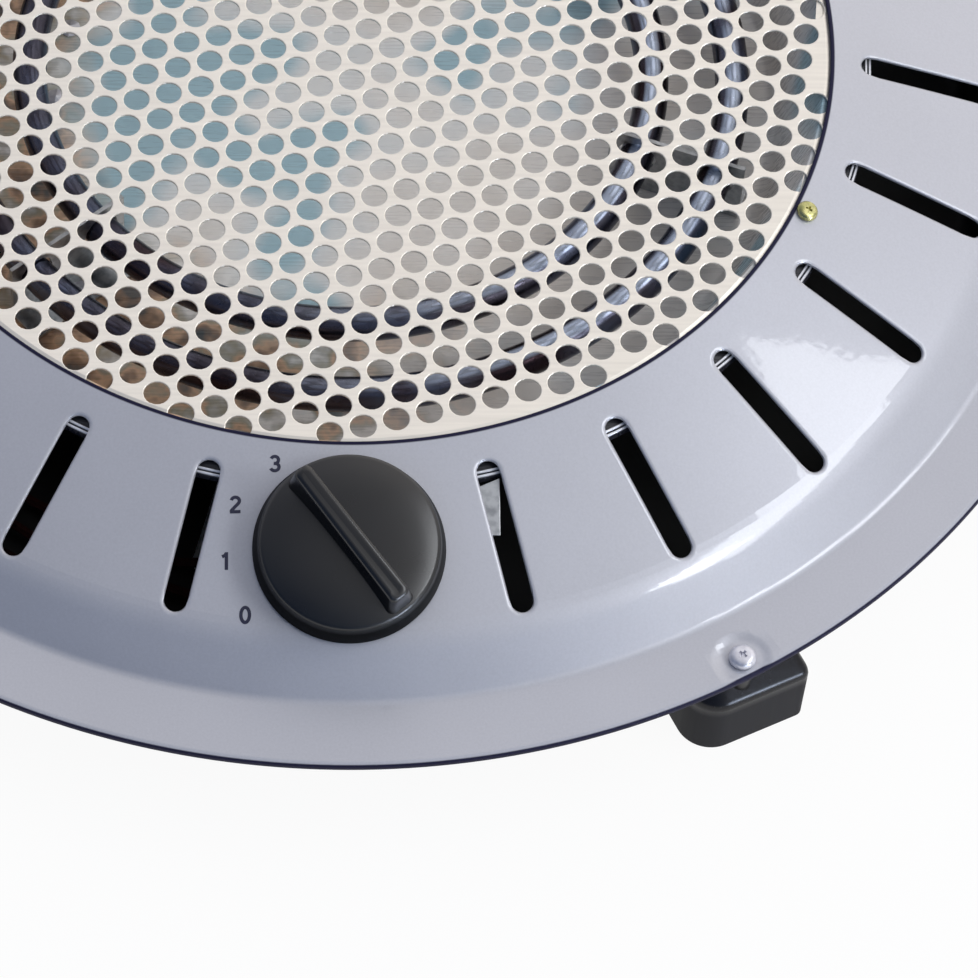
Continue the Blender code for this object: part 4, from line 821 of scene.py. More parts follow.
def rounded_path(points, bends):
    """A path whose corners are arcs, with a (radius, steps) pair for each but the two ends."""
    points = [Vector(point) for point in points]
    path = [points[0]]
    for before, corner, after, (radius, steps) in zip(points, points[1:], points[2:], bends):
        back = (before - corner).normalized()
        on = (after - corner).normalized()
        half = back.angle(on) / 2.0
        centre = corner + (back + on).normalized() * (radius / math.sin(half))
        start = corner + back * (radius / math.tan(half)) - centre
        end = corner + on * (radius / math.tan(half)) - centre
        swing = start.angle(end)
        for share in np.linspace(0.0, 1.0, steps + 1):
            spoke = start * math.sin((1.0 - share) * swing) + end * math.sin(share * swing)
            path.append(centre + spoke / math.sin(swing))
    return path + [points[-1]]


def skin(name, loops, material, place=Matrix(), ends=True):
    """A skin through loops of equally many points, with flat ends or ends that close by themselves."""
    count = len(loops[0])
    points = [point for loop in loops for point in loop]
    faces = [tuple(range(count)), tuple(range(len(points) - count, len(points)))] if ends else []
    for first in range(0, len(points) - count, count):
        for side in range(count):
            turn = (side + 1) % count
            faces.append((first + side, first + turn, first + count + turn, first + count + side))
    part = mesh_part(name, points, faces, material)
    with worked(part.data) as shape:
        if not ends:
            merge(shape)
            bmesh.ops.dissolve_degenerate(shape, edges=shape.edges, dist=MERGE)
        bmesh.ops.recalc_face_normals(shape, faces=shape.faces)
    part.matrix_world = place
    return part


def turned(name, profile, sides, material, place=Matrix()):
    """A turned piece from (radius, height) points, which run between poles or open edges."""
    angles = [math.tau * side / sides for side in range(sides)]
    loops = [[compass(angle, radius, height) for angle in angles] for radius, height in profile]
    return skin(name, loops, material, place, ends=False)


def ring_profile():
    """The ring's upper face as (radius, height) points, from its opening to its lip."""
    steep = math.tan(SHOULDER_ANGLE)
    gentle = math.tan(CONE_ANGLE)
    knee = (CREASE_RADIUS * steep - OPENING_RADIUS * gentle - RING_RISE) / (steep - gentle)
    corners = [
        (knee - RING_CROWN_END, cone_height(knee - RING_CROWN_END)),
        (knee, cone_height(knee)),
        (CREASE_RADIUS, RIM_HEIGHT),
        (RIM_RADIUS, RIM_HEIGHT),
        (RIM_RADIUS, RIM_HEIGHT - LIP_DROP),
    ]
    path = rounded_path(corners, [(SHOULDER_BEND, 16), (CREASE_BEND, 6), (LIP_BEND, 5)])[1:]
    crown = []
    for step in range(12):
        share = step / 12.0
        radius = OPENING_RADIUS + (path[0].x - OPENING_RADIUS) * share
        crown.append((radius, cone_height(radius) + 4.0 * RING_CROWN * share * (1.0 - share)))
    return crown + [tuple(point) for point in path]


RING_PROFILE = ring_profile()


def ring_height(radius):
    """The ring's upper face at a radius, with the round shoulder that the slots run into."""
    return float(np.interp(radius, *zip(*RING_PROFILE[:-1])))


def slot_row(along, width, bulge):
    """One row of a sector: places across and out, round a slot's end where it bulges.

    The outer places run on to the sector's edge at a constant distance from the axis.
    """
    half = width / 2.0
    inner = []
    for step in range(END_STEPS + 1):
        swing = math.pi * (step / END_STEPS - 0.5)
        inner.append((half * math.sin(swing), along + bulge * half * math.cos(swing)))
    radius = math.hypot(half, along)
    start = math.atan2(half, along)
    outer = []
    for step in range(1, SIDE_STEPS + 1):
        angle = start + (math.pi / SLOT_PLACES - start) * step / SIDE_STEPS
        outer.append((radius * math.sin(angle), radius * math.cos(angle)))
    return np.array([(-across, out) for across, out in reversed(outer)] + inner + outer)


def blend_rows(first, second, steps):
    """Rows between two rows, with the last one and without the first."""
    return [first + (second - first) * step / steps for step in range(1, steps + 1)]


def circle_row(radius, like):
    """A row on a circle, at the same bearings as another row."""
    return like * (radius / np.hypot(*like.T))[:, None]


def dimple_depth(point):
    """How far a foot screw has drawn the flange down at a point."""
    nearest = min(
        (point - compass(angle, FOOT_SCREW_RADIUS, point.z)).length for angle in FOOT_COMPASSES
    )
    share = min(1.0, max(0.0, (DIMPLE_RADIUS - nearest) / (DIMPLE_RADIUS * 0.3)))
    return DIMPLE_DEPTH * share * share * (3.0 - 2.0 * share)


def ring_surface(width):
    """The ring's upper face as sectors that meet: each is a grid that flows round its slot."""
    inner_end = slot_row(SLOT_INNER_RADIUS + width / 2.0, width, -1.0)
    outer_end = slot_row(SLOT_OUTER_RADIUS - width / 2.0, width, 1.0)
    start = SLOT_OUTER_RADIUS + SLOT_MARGIN
    opening = circle_row(OPENING_RADIUS, inner_end)
    rows = [opening] + blend_rows(opening, inner_end, 3)
    slot_start = len(rows) - 1
    rows += blend_rows(inner_end, outer_end, 10)
    slot_end = len(rows) - 1
    rows += blend_rows(outer_end, circle_row(start, outer_end), 2)
    heights = [[ring_height(math.hypot(*spot)) for spot in row] for row in rows]
    profile = [spot for spot in RING_PROFILE if spot[0] > start + SLOT_MARGIN / 2.0]
    flat = max(range(len(profile) - 1), key=lambda number: profile[number + 1][0] - profile[number][0])
    radii = np.linspace(profile[flat][0], profile[flat + 1][0], 13)[1:-1]
    profile[flat + 1:flat + 1] = [(radius, RIM_HEIGHT) for radius in radii]
    for radius, height in profile:
        rows.append(circle_row(radius, outer_end))
        heights.append([height] * len(outer_end))
    columns = len(outer_end)
    points, faces = [], []
    for place in range(SLOT_PLACES):
        turn = math.tau * place / SLOT_PLACES
        first = len(points)
        for row, levels in zip(rows, heights):
            for (across, out), height in zip(row, levels):
                point = compass(turn + math.atan2(across, out), math.hypot(across, out), height)
                point.z -= dimple_depth(point)
                points.append(point)
        for row in range(len(rows) - 1):
            for column in range(columns - 1):
                middle = SIDE_STEPS <= column < SIDE_STEPS + END_STEPS
                if place > 0 and middle and slot_start <= row < slot_end:
                    continue
                corner = first + row * columns + column
                faces.append((corner, corner + columns, corner + columns + 1, corner + 1))
    return points, faces


INPUT_KINDS = {
    int: "NodeSocketInt", float: "NodeSocketFloat", Vector: "NodeSocketVector",
    bpy.types.Material: "NodeSocketMaterial", bpy.types.Object: "NodeSocketObject",
}


def grow(part, name, draw, values):
    """Give a piece a Geometry Nodes tree, with a named input for each value, set by its identifier.

    draw adds the nodes between the inputs and the end, which is Realize Instances and Set Material.
    """
    tree = bpy.data.node_groups.new(name, "GeometryNodeTree")
    add_socket = tree.interface.new_socket
    add_socket("Geometry", in_out="INPUT", socket_type="NodeSocketGeometry")
    sockets = {
        label: add_socket(label, in_out="INPUT", socket_type=INPUT_KINDS[type(value)])
        for label, value in values.items()
    }
    add_socket("Geometry", in_out="OUTPUT", socket_type="NodeSocketGeometry")
    given = node(tree, "NodeGroupInput").outputs
    real = node(tree, REALIZE, (draw(tree, given),))
    painted = node(tree, "GeometryNodeSetMaterial", {"Geometry": real, "Material": given["Finish"]})
    node(tree, "NodeGroupOutput", (painted,))
    step = part.modifiers.new(name, "NODES")
    step.node_group = tree
    for label, socket in sockets.items():
        step[socket.identifier] = values[label]


def perforations(tree, given):
    """Punched holes in a disc with a bent border: a lattice of circles cut from two flat fills."""
    index = node(tree, "GeometryNodeInputIndex")
    lattice = node(tree, "GeometryNodePoints", {"Count": int(LATTICE_ROWS * LATTICE_ROWS)})
    row = node(tree, "DIVIDE", (index, LATTICE_ROWS))
    row = node(tree, "FLOOR", (row,))
    before = node(tree, "MULTIPLY", (row, LATTICE_ROWS))
    column = node(tree, "SUBTRACT", (index, before))
    along = node(tree, COMBINE, (given["Pitch"],))
    place = given["First hole"]
    for count, lean in ((column, 0.0), (row, math.radians(60.0))):
        steps = node(tree, "SUBTRACT", (count, LATTICE_ROWS / 2.0))
        angle = node(tree, "ADD", (given["Turn"], lean))
        way = node(
            tree, "ShaderNodeVectorRotate", {"Vector": along, "Angle": angle}, rotation_type="Z_AXIS"
        )
        scaled = node(tree, VECTOR_MATH, {0: way, "Scale": steps}, operation="SCALE")
        place = node(tree, VECTOR_MATH, (place, scaled), operation="ADD")
    spots = node(tree, MOVE, {"Geometry": lattice, "Position": place})
    position = node(tree, "GeometryNodeInputPosition")
    away = node(tree, VECTOR_MATH, (position, given["Field centre"]), operation="DISTANCE")
    outside = node(tree, "GREATER_THAN", (away, given["Field radius"]))
    field = node(tree, "GeometryNodeDeleteGeometry", {"Geometry": spots, "Selection": outside})
    hole = node(tree, CIRCLE, {"Resolution": HOLE_STEPS, "Radius": given["Hole radius"]})
    holes = node(tree, "GeometryNodeInstanceOnPoints", {"Points": field, "Instance": hole})
    # Two bend circles a hair apart turn the fill inside out twice, and then merge into the bend line
    wide = node(tree, "ADD", (given["Bend radius"], HAIR))
    rims = [
        node(tree, CIRCLE, {"Resolution": RIM_STEPS, "Radius": radius})
        for radius in (given["Bend radius"], wide, given["Border radius"])
    ]
    real = node(tree, REALIZE, (node(tree, JOIN, ([holes, *rims],)),))
    filled = node(tree, "GeometryNodeFillCurve", {"Curve": real})
    merged = node(tree, "GeometryNodeMergeByDistance", {"Geometry": filled, "Distance": HAIR * 8.0})
    reach = node(tree, VECTOR_MATH, (position,), operation="LENGTH")
    past = node(tree, "SUBTRACT", (reach, given["Bend radius"]))
    past = node(tree, "MAXIMUM", (past, 0.0))
    drop = node(tree, "MULTIPLY", (past, given["Border slope"]))
    level = node(tree, "SUBTRACT", (given["Height"], drop))
    return node(tree, MOVE, {"Geometry": merged, "Offset": node(tree, COMBINE, {"Z": level})})


def vents(tree, given):
    """A flat disc with round-ended vents: each vent is a curve set on the compass."""
    index = node(tree, "GeometryNodeInputIndex")
    share = node(tree, "ADD", (index, 0.5))
    share = node(tree, "DIVIDE", (share, given["Vents"]))
    turn = node(tree, COMBINE, {"Z": node(tree, "MULTIPLY", (share, math.tau))})
    half = node(tree, "MULTIPLY", (given["Vent width"], 0.5))
    late = node(tree, "GREATER_THAN", (index, VENT_STEPS / 2.0 - 0.5))
    swing = node(tree, "SUBTRACT", (index, late))
    swing = node(tree, "MULTIPLY", (swing, math.pi / (VENT_STEPS / 2.0 - 1.0)))
    near = node(tree, "ADD", (given["Inner radius"], half))
    far = node(tree, "SUBTRACT", (given["Outer radius"], half))
    centre = node(tree, MIX, {0: late, 2: far, 3: near})
    across, out = (
        node(tree, "MULTIPLY_ADD", (node(tree, wave, (swing,)), half, base))
        for wave, base in (("COSINE", 0.0), ("SINE", centre))
    )
    place = node(tree, COMBINE, (across, node(tree, "MULTIPLY", (out, -1.0))))
    loop = node(tree, CIRCLE, {"Resolution": int(VENT_STEPS), "Radius": 0.01})
    slot = node(tree, MOVE, {"Geometry": loop, "Position": place})
    spots = node(tree, "GeometryNodePoints", {"Count": given["Vents"]})
    placed = node(
        tree, "GeometryNodeInstanceOnPoints", {"Points": spots, "Instance": slot, "Rotation": turn}
    )
    disc = node(tree, CIRCLE, {"Resolution": 160, "Radius": given["Disc radius"]})
    real = node(tree, REALIZE, (node(tree, JOIN, ([placed, disc],)),))
    filled = node(tree, "GeometryNodeFillCurve", {"Curve": real})
    lift = node(tree, COMBINE, {"Z": given["Height"]})
    level = node(tree, MOVE, {"Geometry": filled, "Offset": lift})
    joined = node(tree, JOIN, ([level, given["Geometry"]],))
    return node(tree, "GeometryNodeMergeByDistance", {"Geometry": joined, "Distance": MERGE * 3.0})


def copies(tree, given):
    """One piece set on each point of a mesh, turned by the point's own angles."""
    piece = node(tree, "GeometryNodeObjectInfo", {"Object": given["Piece"]}).outputs["Geometry"]
    turn = node(tree, "GeometryNodeInputNamedAttribute", {"Name": "turn"}, data_type="FLOAT_VECTOR")
    return node(
        tree, "GeometryNodeInstanceOnPoints",
        {"Points": given["Geometry"], "Instance": piece, "Rotation": turn},
    )


def repeat(name, piece, places, slot):
    """Copies of a piece at frames, as one mesh; the pattern piece is removed."""
    part = mesh_part(name, [place.translation for place in places], [], None)
    turns = part.data.attributes.new("turn", "FLOAT_VECTOR", "POINT")
    for value, place in zip(turns.data, places):
        value.vector = place.to_euler()
    grow(part, "repeated_piece", copies, {"Piece": piece, "Finish": finish(slot)})
    part = settle(part)
    discard(piece)
    return part


def element_path(radius, bend_steps=10, arc_steps=120):
    """The centre line of an element: up one leg, round the ring and down the other."""
    gap = math.asin(ELEMENT_END_SPREAD / 2.0 / radius)
    run = math.tau - 2.0 * gap
    lead = ELEMENT_BEND / radius
    leg = [(0.0, ELEMENT_LEG_END)]
    for step in range(bend_steps + 1):
        swing = math.pi / 2.0 * step / bend_steps
        height = TUBE_HEIGHT - ELEMENT_BEND * (1.0 - math.sin(swing))
        leg.append((lead * (1.0 - math.cos(swing)), height))
    arc_run = run - 2.0 * lead
    level = [(lead + arc_run * step / arc_steps, TUBE_HEIGHT) for step in range(1, arc_steps)]
    back = [(run - turn, height) for turn, height in reversed(leg)]
    return [
        compass(ELEMENT_END_COMPASS + gap + turn, radius, height) for turn, height in leg + level + back
    ]


def rounded_outline(width, depth, corner, steps):
    """A rounded rectangle round the origin, as points without a repeat."""
    across, out = width / 2.0, depth / 2.0
    corners = [(0.0, -out), (across, -out), (across, out), (-across, out), (-across, -out), (0.0, -out)]
    return rounded_path(corners, [(corner, steps)] * 4)[:-1]


def rib_loops(settings):
    """The pointer rib's sections: narrower and shorter upwards, and lower towards its front end."""
    base = KNOB_LIFT + KNOB_WALL
    levels = [(base, 0.0)]
    for step in range(8):
        swing = math.pi / 2.0 * step / 7.0
        height = settings.rib_height - RIB_EDGE * (1.0 - math.sin(swing))
        levels.append((height, RIB_EDGE * (1.0 - math.cos(swing))))
    loops = []
    for height, inset in levels:
        share = (height - base) / (settings.rib_height - base)
        width = settings.rib_width * (1.0 - RIB_NARROWING * share) - 2.0 * inset
        run = settings.rib_length * (1.0 - RIB_SHORTENING * share) - 2.0 * inset
        loops.append([
            (
                x * (1.0 - RIB_TAPER * (0.5 + y / run)), y,
                height - RIB_FRONT_DROP * share * max(0.0, -2.0 * y / run) ** 2,
            )
            for x, y in rounded_outline(width, run, RIB_CORNER, 5)
        ])
    return loops


def arc(centre, width, height, start, end, steps=14):
    """Points on part of an ellipse, its angles in degrees from +X."""
    angles = [math.radians(start + (end - start) * step / steps) for step in range(steps + 1)]
    return [(centre[0] + width * math.cos(a), centre[1] + height * math.sin(a)) for a in angles]


NUMERALS = {
    "0": [arc((0.0, 0.0), 0.235, 0.415, 90.0, 450.0, 32)],
    "1": [[(0.08, -0.5), (0.08, 0.5)], [(0.05, 0.40), (-0.02, 0.31), (-0.16, 0.25)]],
    "2": [
        arc((0.0, 0.20), 0.225, 0.215, 168.0, -38.0) + [(-0.21, -0.34), (-0.235, -0.415)],
        [(-0.30, -0.415), (0.29, -0.415)],
    ],
    "3": [
        arc((-0.01, 0.205), 0.205, 0.21, 158.0, -80.0) + [(-0.07, 0.005)],
        arc((-0.01, -0.20), 0.235, 0.215, 80.0, -160.0, 16),
    ],
}


def ribbon(points):
    """A flat stroke along points, as pairs of side points."""
    pairs = []
    last = len(points) - 1
    for number, point in enumerate(points):
        before, after = points[max(0, number - 1)], points[min(last, number + 1)]
        if number in (0, last) and math.dist(points[0], points[-1]) < 0.001:
            before, after = points[-2], points[1]
        way = Vector((after[0] - before[0], after[1] - before[1])).normalized() * (STROKE_SHARE / 2.0)
        pairs += [(point[0] - way.y, point[1] + way.x), (point[0] + way.y, point[1] - way.x)]
    return pairs


def foot_loops():
    """The foot's sections: upright sides, and a crown that leans in from the outer side."""
    left, right = -FOOT_LEFT_REACH, FOOT_RIGHT_REACH
    outer, inner = -FOOT_OUTER_REACH, FOOT_INNER_REACH
    middle = (left + right) / 2.0
    start = (middle, inner)
    corners = [start, (left, inner), (left, outer), (right, outer), (right, inner), start]
    bends = [(FOOT_CORNER, 5), (FOOT_LEFT_CORNER, 16), (FOOT_CORNER, 6), (FOOT_CORNER, 5)]
    outline = rounded_path(corners, bends)[:-1]
    run = (inner - outer) * (1.0 - FOOT_CROWN_DEPTH_SHARE)
    top = FOOT_SIDE_HEIGHT + FOOT_CROWN_HEIGHT
    corners = [(0.0, 0.0), (0.0, FOOT_SIDE_HEIGHT), (run, top), (run + 0.003, top)]
    path = rounded_path(corners, [(FOOT_SHOULDER_BEND, 8), (FOOT_TOP_BEND, 5)])
    sections = [(0.0, 0.0, FOOT_BASE_BREAK), (FOOT_BASE_BREAK, 0.0, 0.0)]
    sections += [(point.y, point.x / run, 0.0) for point in path[1:-1]]
    loops = []
    for height, lean, inset in sections:
        wide = 1.0 + (FOOT_CROWN_WIDTH_SHARE - 1.0) * lean
        deep = 1.0 + (FOOT_CROWN_DEPTH_SHARE - 1.0) * lean
        loop = []
        for x, y in outline:
            across = (x - middle) * wide
            across -= math.copysign(min(inset, abs(across)), across)
            out = inner + (y - inner) * deep
            out += inset if out < (inner + outer) / 2.0 else -inset
            loop.append((middle + across, out, height))
        loops.append(loop)
    return loops


def screw_head(name, radius, height, shank, reach, slot):
    """A pan head with a cross recess, its seat a gap above its frame's origin."""
    top = SEAT_GAP + height
    tip = SEAT_GAP - reach
    corners = [
        (0.0, top), (radius, top), (radius, SEAT_GAP), (shank, SEAT_GAP), (shank, tip), (0.0, tip),
    ]
    bends = [(height * 0.7, 6), (height * 0.18, 2), (shank * 0.2, 1), (shank * 0.4, 2)]
    head = settle(turned(name, rounded_path(corners, bends), 40, finish(slot)))
    arms = []
    for angle in (0.0, math.pi / 2.0):
        arm = mesh_part("recess", [], [], None)
        with worked(arm.data) as shape:
            bmesh.ops.create_cube(shape, size=1.0)
            bmesh.ops.scale(shape, vec=(radius * 0.9, radius * 0.2, height * 0.8), verts=shape.verts)
            for vertex in shape.verts:
                if vertex.co.z < 0.0:
                    vertex.co.x *= 0.45
            bmesh.ops.translate(shape, vec=(0.0, 0.0, top), verts=shape.verts)
            bmesh.ops.rotate(shape, matrix=Matrix.Rotation(angle, 3, "Z"), verts=shape.verts)
        arms.append(arm)
    return boolean(head, boolean(*arms, "UNION"), "DIFFERENCE")


def facing(right, up, back, place):
    """A frame from its three ways and its place."""
    return Matrix.Translation(place) @ Matrix((right, up, back)).transposed().to_4x4()


def soft_lamp(name, ends, depth, power):
    """A pale soft lamp as a strip from one place to another, which looks at the heater."""
    first, last = (Vector(end) for end in ends)
    lamp = bpy.data.lights.new(name, "AREA")
    lamp.shape = "RECTANGLE"
    lamp.size = (last - first).length
    lamp.size_y = depth
    lamp.energy = power
    lamp.color = (0.93, 0.96, 1.0)
    middle = (first + last) / 2.0
    along = (last - first).normalized()
    back = middle.normalized()
    back = (back - along * back.dot(along)).normalized()
    place_object(name, lamp).matrix_world = facing(along, back.cross(along), back, middle)


def studio_floor(settings):
    """A pale floor that keeps the heater's shadow, and that looks white to the camera round it."""
    floor = mesh_part("floor", [(-4, -4, 0), (4, -4, 0), (4, 4, 0), (-4, 4, 0)], [(0, 1, 2, 3)], None)
    paper, tree, shader = new_finish("studio_paper", settings.floor, 0.9, specular_ior_level=0.1)
    stops = [(0.3, shade(settings.floor, 0.985)), (0.7, settings.floor)]
    feed(tree, shader, base_color=node(tree, RAMP, (pattern(tree, 0.004, 3.0),), stops))
    glow = node(tree, "ShaderNodeEmission", {"Color": (1.0, 1.0, 1.0), "Strength": 1.0})
    rays = node(tree, "ShaderNodeLightPath").outputs
    seen = rays["Is Camera Ray"]
    for ray in ("Is Glossy Ray", "Is Transmission Ray"):
        seen = node(tree, "MAXIMUM", (seen, rays[ray]))
    reach, _ = reach_from_axis(tree)
    beyond = node(tree, RANGE, (reach, RIM_RADIUS * 0.80, RIM_RADIUS * 0.92, 0.0, 0.94))
    share = node(tree, "MULTIPLY", (seen, beyond))
    mixed = node(tree, "ShaderNodeMixShader", (share, shader, glow))
    plug(tree, tree.nodes["Material Output"].inputs["Surface"], mixed)
    floor.data.materials.append(paper)


def studio_sky(settings):
    """A plain sky, brighter at the right and behind, and bluer at the front."""
    world = bpy.data.worlds.new("studio")
    world.use_nodes = True
    tree = world.node_tree
    way = node(tree, "ShaderNodeTexCoord").outputs["Generated"]
    parts = node(tree, SEPARATE, (way,)).outputs
    right = node(tree, RANGE, (parts["X"], -0.3, 0.35))
    skies = {0: right, 6: settings.left_sky, 7: settings.right_sky}
    color = node(tree, MIX, skies, data_type="RGBA")
    slant = node(tree, "MULTIPLY_ADD", (parts["X"], 0.6, parts["Y"]))
    front = node(tree, RANGE, (slant, -0.25, -0.75))
    tinted = {0: front, 6: color, 7: linear("#98ADCB")}
    color = node(tree, MIX, tinted, data_type="RGBA", blend_type="MULTIPLY")
    behind = node(tree, RANGE, (parts["Y"], 0.2, 0.55))
    raised = {0: behind, 6: color, 7: (1.75, 1.68, 1.6)}
    color = node(tree, MIX, raised, data_type="RGBA", blend_type="MULTIPLY")
    # A reflector card, low at the front right, that only shiny things show
    near = node(tree, VECTOR_MATH, (way, (0.68, -0.73, 0.07)), operation="DOT_PRODUCT")
    near = node(tree, RANGE, (near, 0.982, 0.995))
    shiny = node(tree, "ShaderNodeLightPath").outputs["Is Glossy Ray"]
    card = node(tree, "MULTIPLY", (near, shiny))
    color = node(tree, MIX, {0: card, 6: color, 7: (16.0, 18.5, 23.0)}, data_type="RGBA")
    sky = tree.nodes["Background"]
    plug(tree, sky.inputs["Color"], color)
    plug(tree, sky.inputs["Strength"], settings.sky_strength)
    bpy.context.scene.world = world


class BRAZIER_OT_finish_nodes(bpy.types.Operator):
    """Give the nodes that stay as they are the finish of their slot in the record"""

    bl_idname = "brazier.finish_nodes"
    bl_label = "Finish nodes"

    def execute(self, context):
        for row in frame["record"]["subparts"]:
            materials = frame["nodes"][row["node"]].data.materials
            materials.clear()
            materials.append(finish(row["material_slot"]))
        return {"FINISHED"}


class BRAZIER_OT_camera(bpy.types.Operator):
    """Set the camera where the photograph was taken"""

    bl_idname = "brazier.camera"
    bl_label = "Camera"

    def execute(self, context):
        back = compass(CAMERA_AZIMUTH, math.cos(CAMERA_ELEVATION), math.sin(CAMERA_ELEVATION))
        level = Vector((math.cos(CAMERA_AZIMUTH), math.sin(CAMERA_AZIMUTH), 0.0))
        upright = back.cross(level)
        right = level * math.cos(CAMERA_ROLL) - upright * math.sin(CAMERA_ROLL)
        up = level * math.sin(CAMERA_ROLL) + upright * math.cos(CAMERA_ROLL)
        lens = bpy.data.cameras.new("camera")
        lens.sensor_width = CAMERA_SENSOR
        lens.lens = CAMERA_LENS
        lens.clip_start = 0.01
        camera = place_object("camera", lens)
        camera.matrix_world = facing(right, up, back, CAMERA_TARGET + back * CAMERA_DISTANCE)
        context.scene.camera = camera
        return {"FINISHED"}


class BRAZIER_OT_top_ring(bpy.types.Operator):
    """Press the slotted ring"""

    bl_idname = "brazier.top_ring"
    bl_label = "Top ring"

    def execute(self, context):
        settings = context.scene.brazier_ring
        ring = mesh_part("pressed_ring", *ring_surface(settings.slot_width), finish("ring_paint"))
        with worked(ring.data) as shape:
            loose = [vertex for vertex in shape.verts if not vertex.link_faces]
            bmesh.ops.delete(shape, geom=loose, context="VERTS")
            merge(shape)
            face(shape, 1)
        keep(sheet(ring, RING_SHEET, settings.edge), "ring_paint", "root", "top_ring")
        return {"FINISHED"}


class BRAZIER_OT_grille(bpy.types.Operator):
    """Punch the grille"""

    bl_idname = "brazier.grille"
    bl_label = "Grille"

    def execute(self, context):
        settings = context.scene.brazier_grille
        grille = mesh_part("perforated_grille", [], [], None)
        values = {
            "Pitch": settings.pitch, "Turn": settings.turn,
            "First hole": compass(FIRST_HOLE_COMPASS, FIRST_HOLE_RADIUS, 0.0),
            "Hole radius": settings.hole, "Field centre": FIELD_CENTRE,
            "Field radius": FIELD_RADIUS + FIELD_MARGIN, "Bend radius": FIELD_RADIUS,
            "Border radius": FIELD_RADIUS + BORDER_WIDTH, "Border slope": math.tan(CONE_ANGLE),
            "Height": FIELD_HEIGHT, "Finish": finish("grille_nickel"),
        }
        grow(grille, "perforations", perforations, values)
        keep(sheet(grille, GRILLE_SHEET, settings.edge), "grille_nickel", "root", "grille")
        return {"FINISHED"}


class BRAZIER_OT_reflector(bpy.types.Operator):
    """Spin the reflector pan, with its rounded floor edge and its ridged and turned-down hem"""

    bl_idname = "brazier.reflector"
    bl_label = "Reflector"

    def execute(self, context):
        hem = PAN_FLANGE_RADIUS - PAN_HEM
        corners = [
            (0.0, PAN_FLOOR_HEIGHT),
            (PAN_FLOOR_RADIUS, PAN_FLOOR_HEIGHT),
            (PAN_MOUTH_RADIUS, below_cone(PAN_MOUTH_RADIUS, PAN_DEPTH)),
            (hem, below_cone(hem, PAN_DEPTH)),
        ]
        profile = rounded_path(corners, [(PAN_BEND, 6), (PAN_SHEET, 3)])
        for step in range(1, 17):
            share = step / 16.0
            radius = hem + PAN_HEM * share
            ridge = PAN_RIDGE * abs(math.sin(math.tau * share)) if share < 1.0 else 0.0
            profile.append((radius, below_cone(radius, PAN_DEPTH) + ridge))
        profile.append((PAN_FLANGE_RADIUS, below_cone(PAN_FLANGE_RADIUS, PAN_DEPTH) - PAN_LIP_DROP))
        steps = context.scene.brazier_heat.pan_steps
        pan = turned("reflector_sheet", profile, steps, finish("reflector"))
        with worked(pan.data) as shape:
            face(shape, 1)
        keep(sheet(pan, PAN_SHEET), "reflector", "root", "reflector_pan")
        return {"FINISHED"}


class BRAZIER_OT_elements(bpy.types.Operator):
    """Bend the heating elements"""

    bl_idname = "brazier.elements"
    bl_label = "Elements"

    def execute(self, context):
        for name, radius in (("inner", INNER_ELEMENT_RADIUS), ("outer", OUTER_ELEMENT_RADIUS)):
            path = element_path(radius)
            curve = bpy.data.curves.new(name, "CURVE")
            curve.dimensions = "3D"
            curve.bevel_depth = TUBE_RADIUS
            curve.bevel_resolution = 6
            curve.use_fill_caps = True
            spline = curve.splines.new("POLY")
            spline.points.add(len(path) - 1)
            for point, place in zip(spline.points, path):
                point.co = (*place, 1.0)
            curve.materials.append(finish("element_sheath"))
            tube = settle(place_object(f"{name}_element_tube", curve))
            with worked(tube.data) as shape:
                merge(shape)
            keep(tube, "element_sheath", "root", f"heating_element_{name}")
        return {"FINISHED"}


class BRAZIER_OT_casing(bpy.types.Operator):
    """Draw the lower casing: a black bowl with a wide flange, and vents in its floor"""

    bl_idname = "brazier.casing"
    bl_label = "Casing"

    def execute(self, context):
        corners = [
            (CASING_DISC_RADIUS, CASING_CLEARANCE),
            (CASING_FLOOR_RADIUS, CASING_CLEARANCE),
            (CASING_MOUTH_RADIUS, CASING_FLANGE_HEIGHT),
            (CASING_FLANGE_RADIUS, CASING_FLANGE_HEIGHT),
        ]
        path = rounded_path(corners, [(CASING_BEND, 6), (CASING_MOUTH_BEND, 4)])
        casing = turned("casing_shell", path, 160, None)
        values = {
            "Vents": VENT_PLACES, "Vent width": VENT_WIDTH, "Inner radius": VENT_INNER_RADIUS,
            "Outer radius": VENT_OUTER_RADIUS, "Disc radius": CASING_DISC_RADIUS,
            "Height": CASING_CLEARANCE, "Finish": finish("casing_paint"),
        }
        grow(casing, "vents", vents, values)
        casing = settle(casing)
        with worked(casing.data) as shape:
            bmesh.ops.recalc_face_normals(shape, faces=shape.faces)
            face(shape, -1)
        keep(sheet(casing, CASING_SHEET, 0.0002), "casing_paint", "root", "lower_casing")
        return {"FINISHED"}


class BRAZIER_OT_feet(bpy.types.Operator):
    """Mould the three feet, each with the boss that takes its screw"""

    bl_idname = "brazier.feet"
    bl_label = "Feet"

    def execute(self, context):
        top, bottom = CASING_FLANGE_HEIGHT - SEAT_GAP, FOOT_SIDE_HEIGHT / 2.0
        profile = [(0.0, top), (FOOT_BOSS, top), (FOOT_BOSS, bottom), (0.0, bottom)]
        for number, angle in enumerate(FOOT_COMPASSES, 1):
            place = compass_frame(angle, FOOT_SCREW_RADIUS, 0.0) @ Matrix.Rotation(-FOOT_TWIST, 4, "Z")
            foot = settle(skin(f"moulded_foot_{number}", foot_loops(), finish("foot_plastic"), place))
            boss = settle(turned("foot_boss", profile, 32, finish("foot_plastic"), place))
            keep(boolean(foot, boss, "UNION"), "black_plastic", "root", f"foot_{number}")
        return {"FINISHED"}


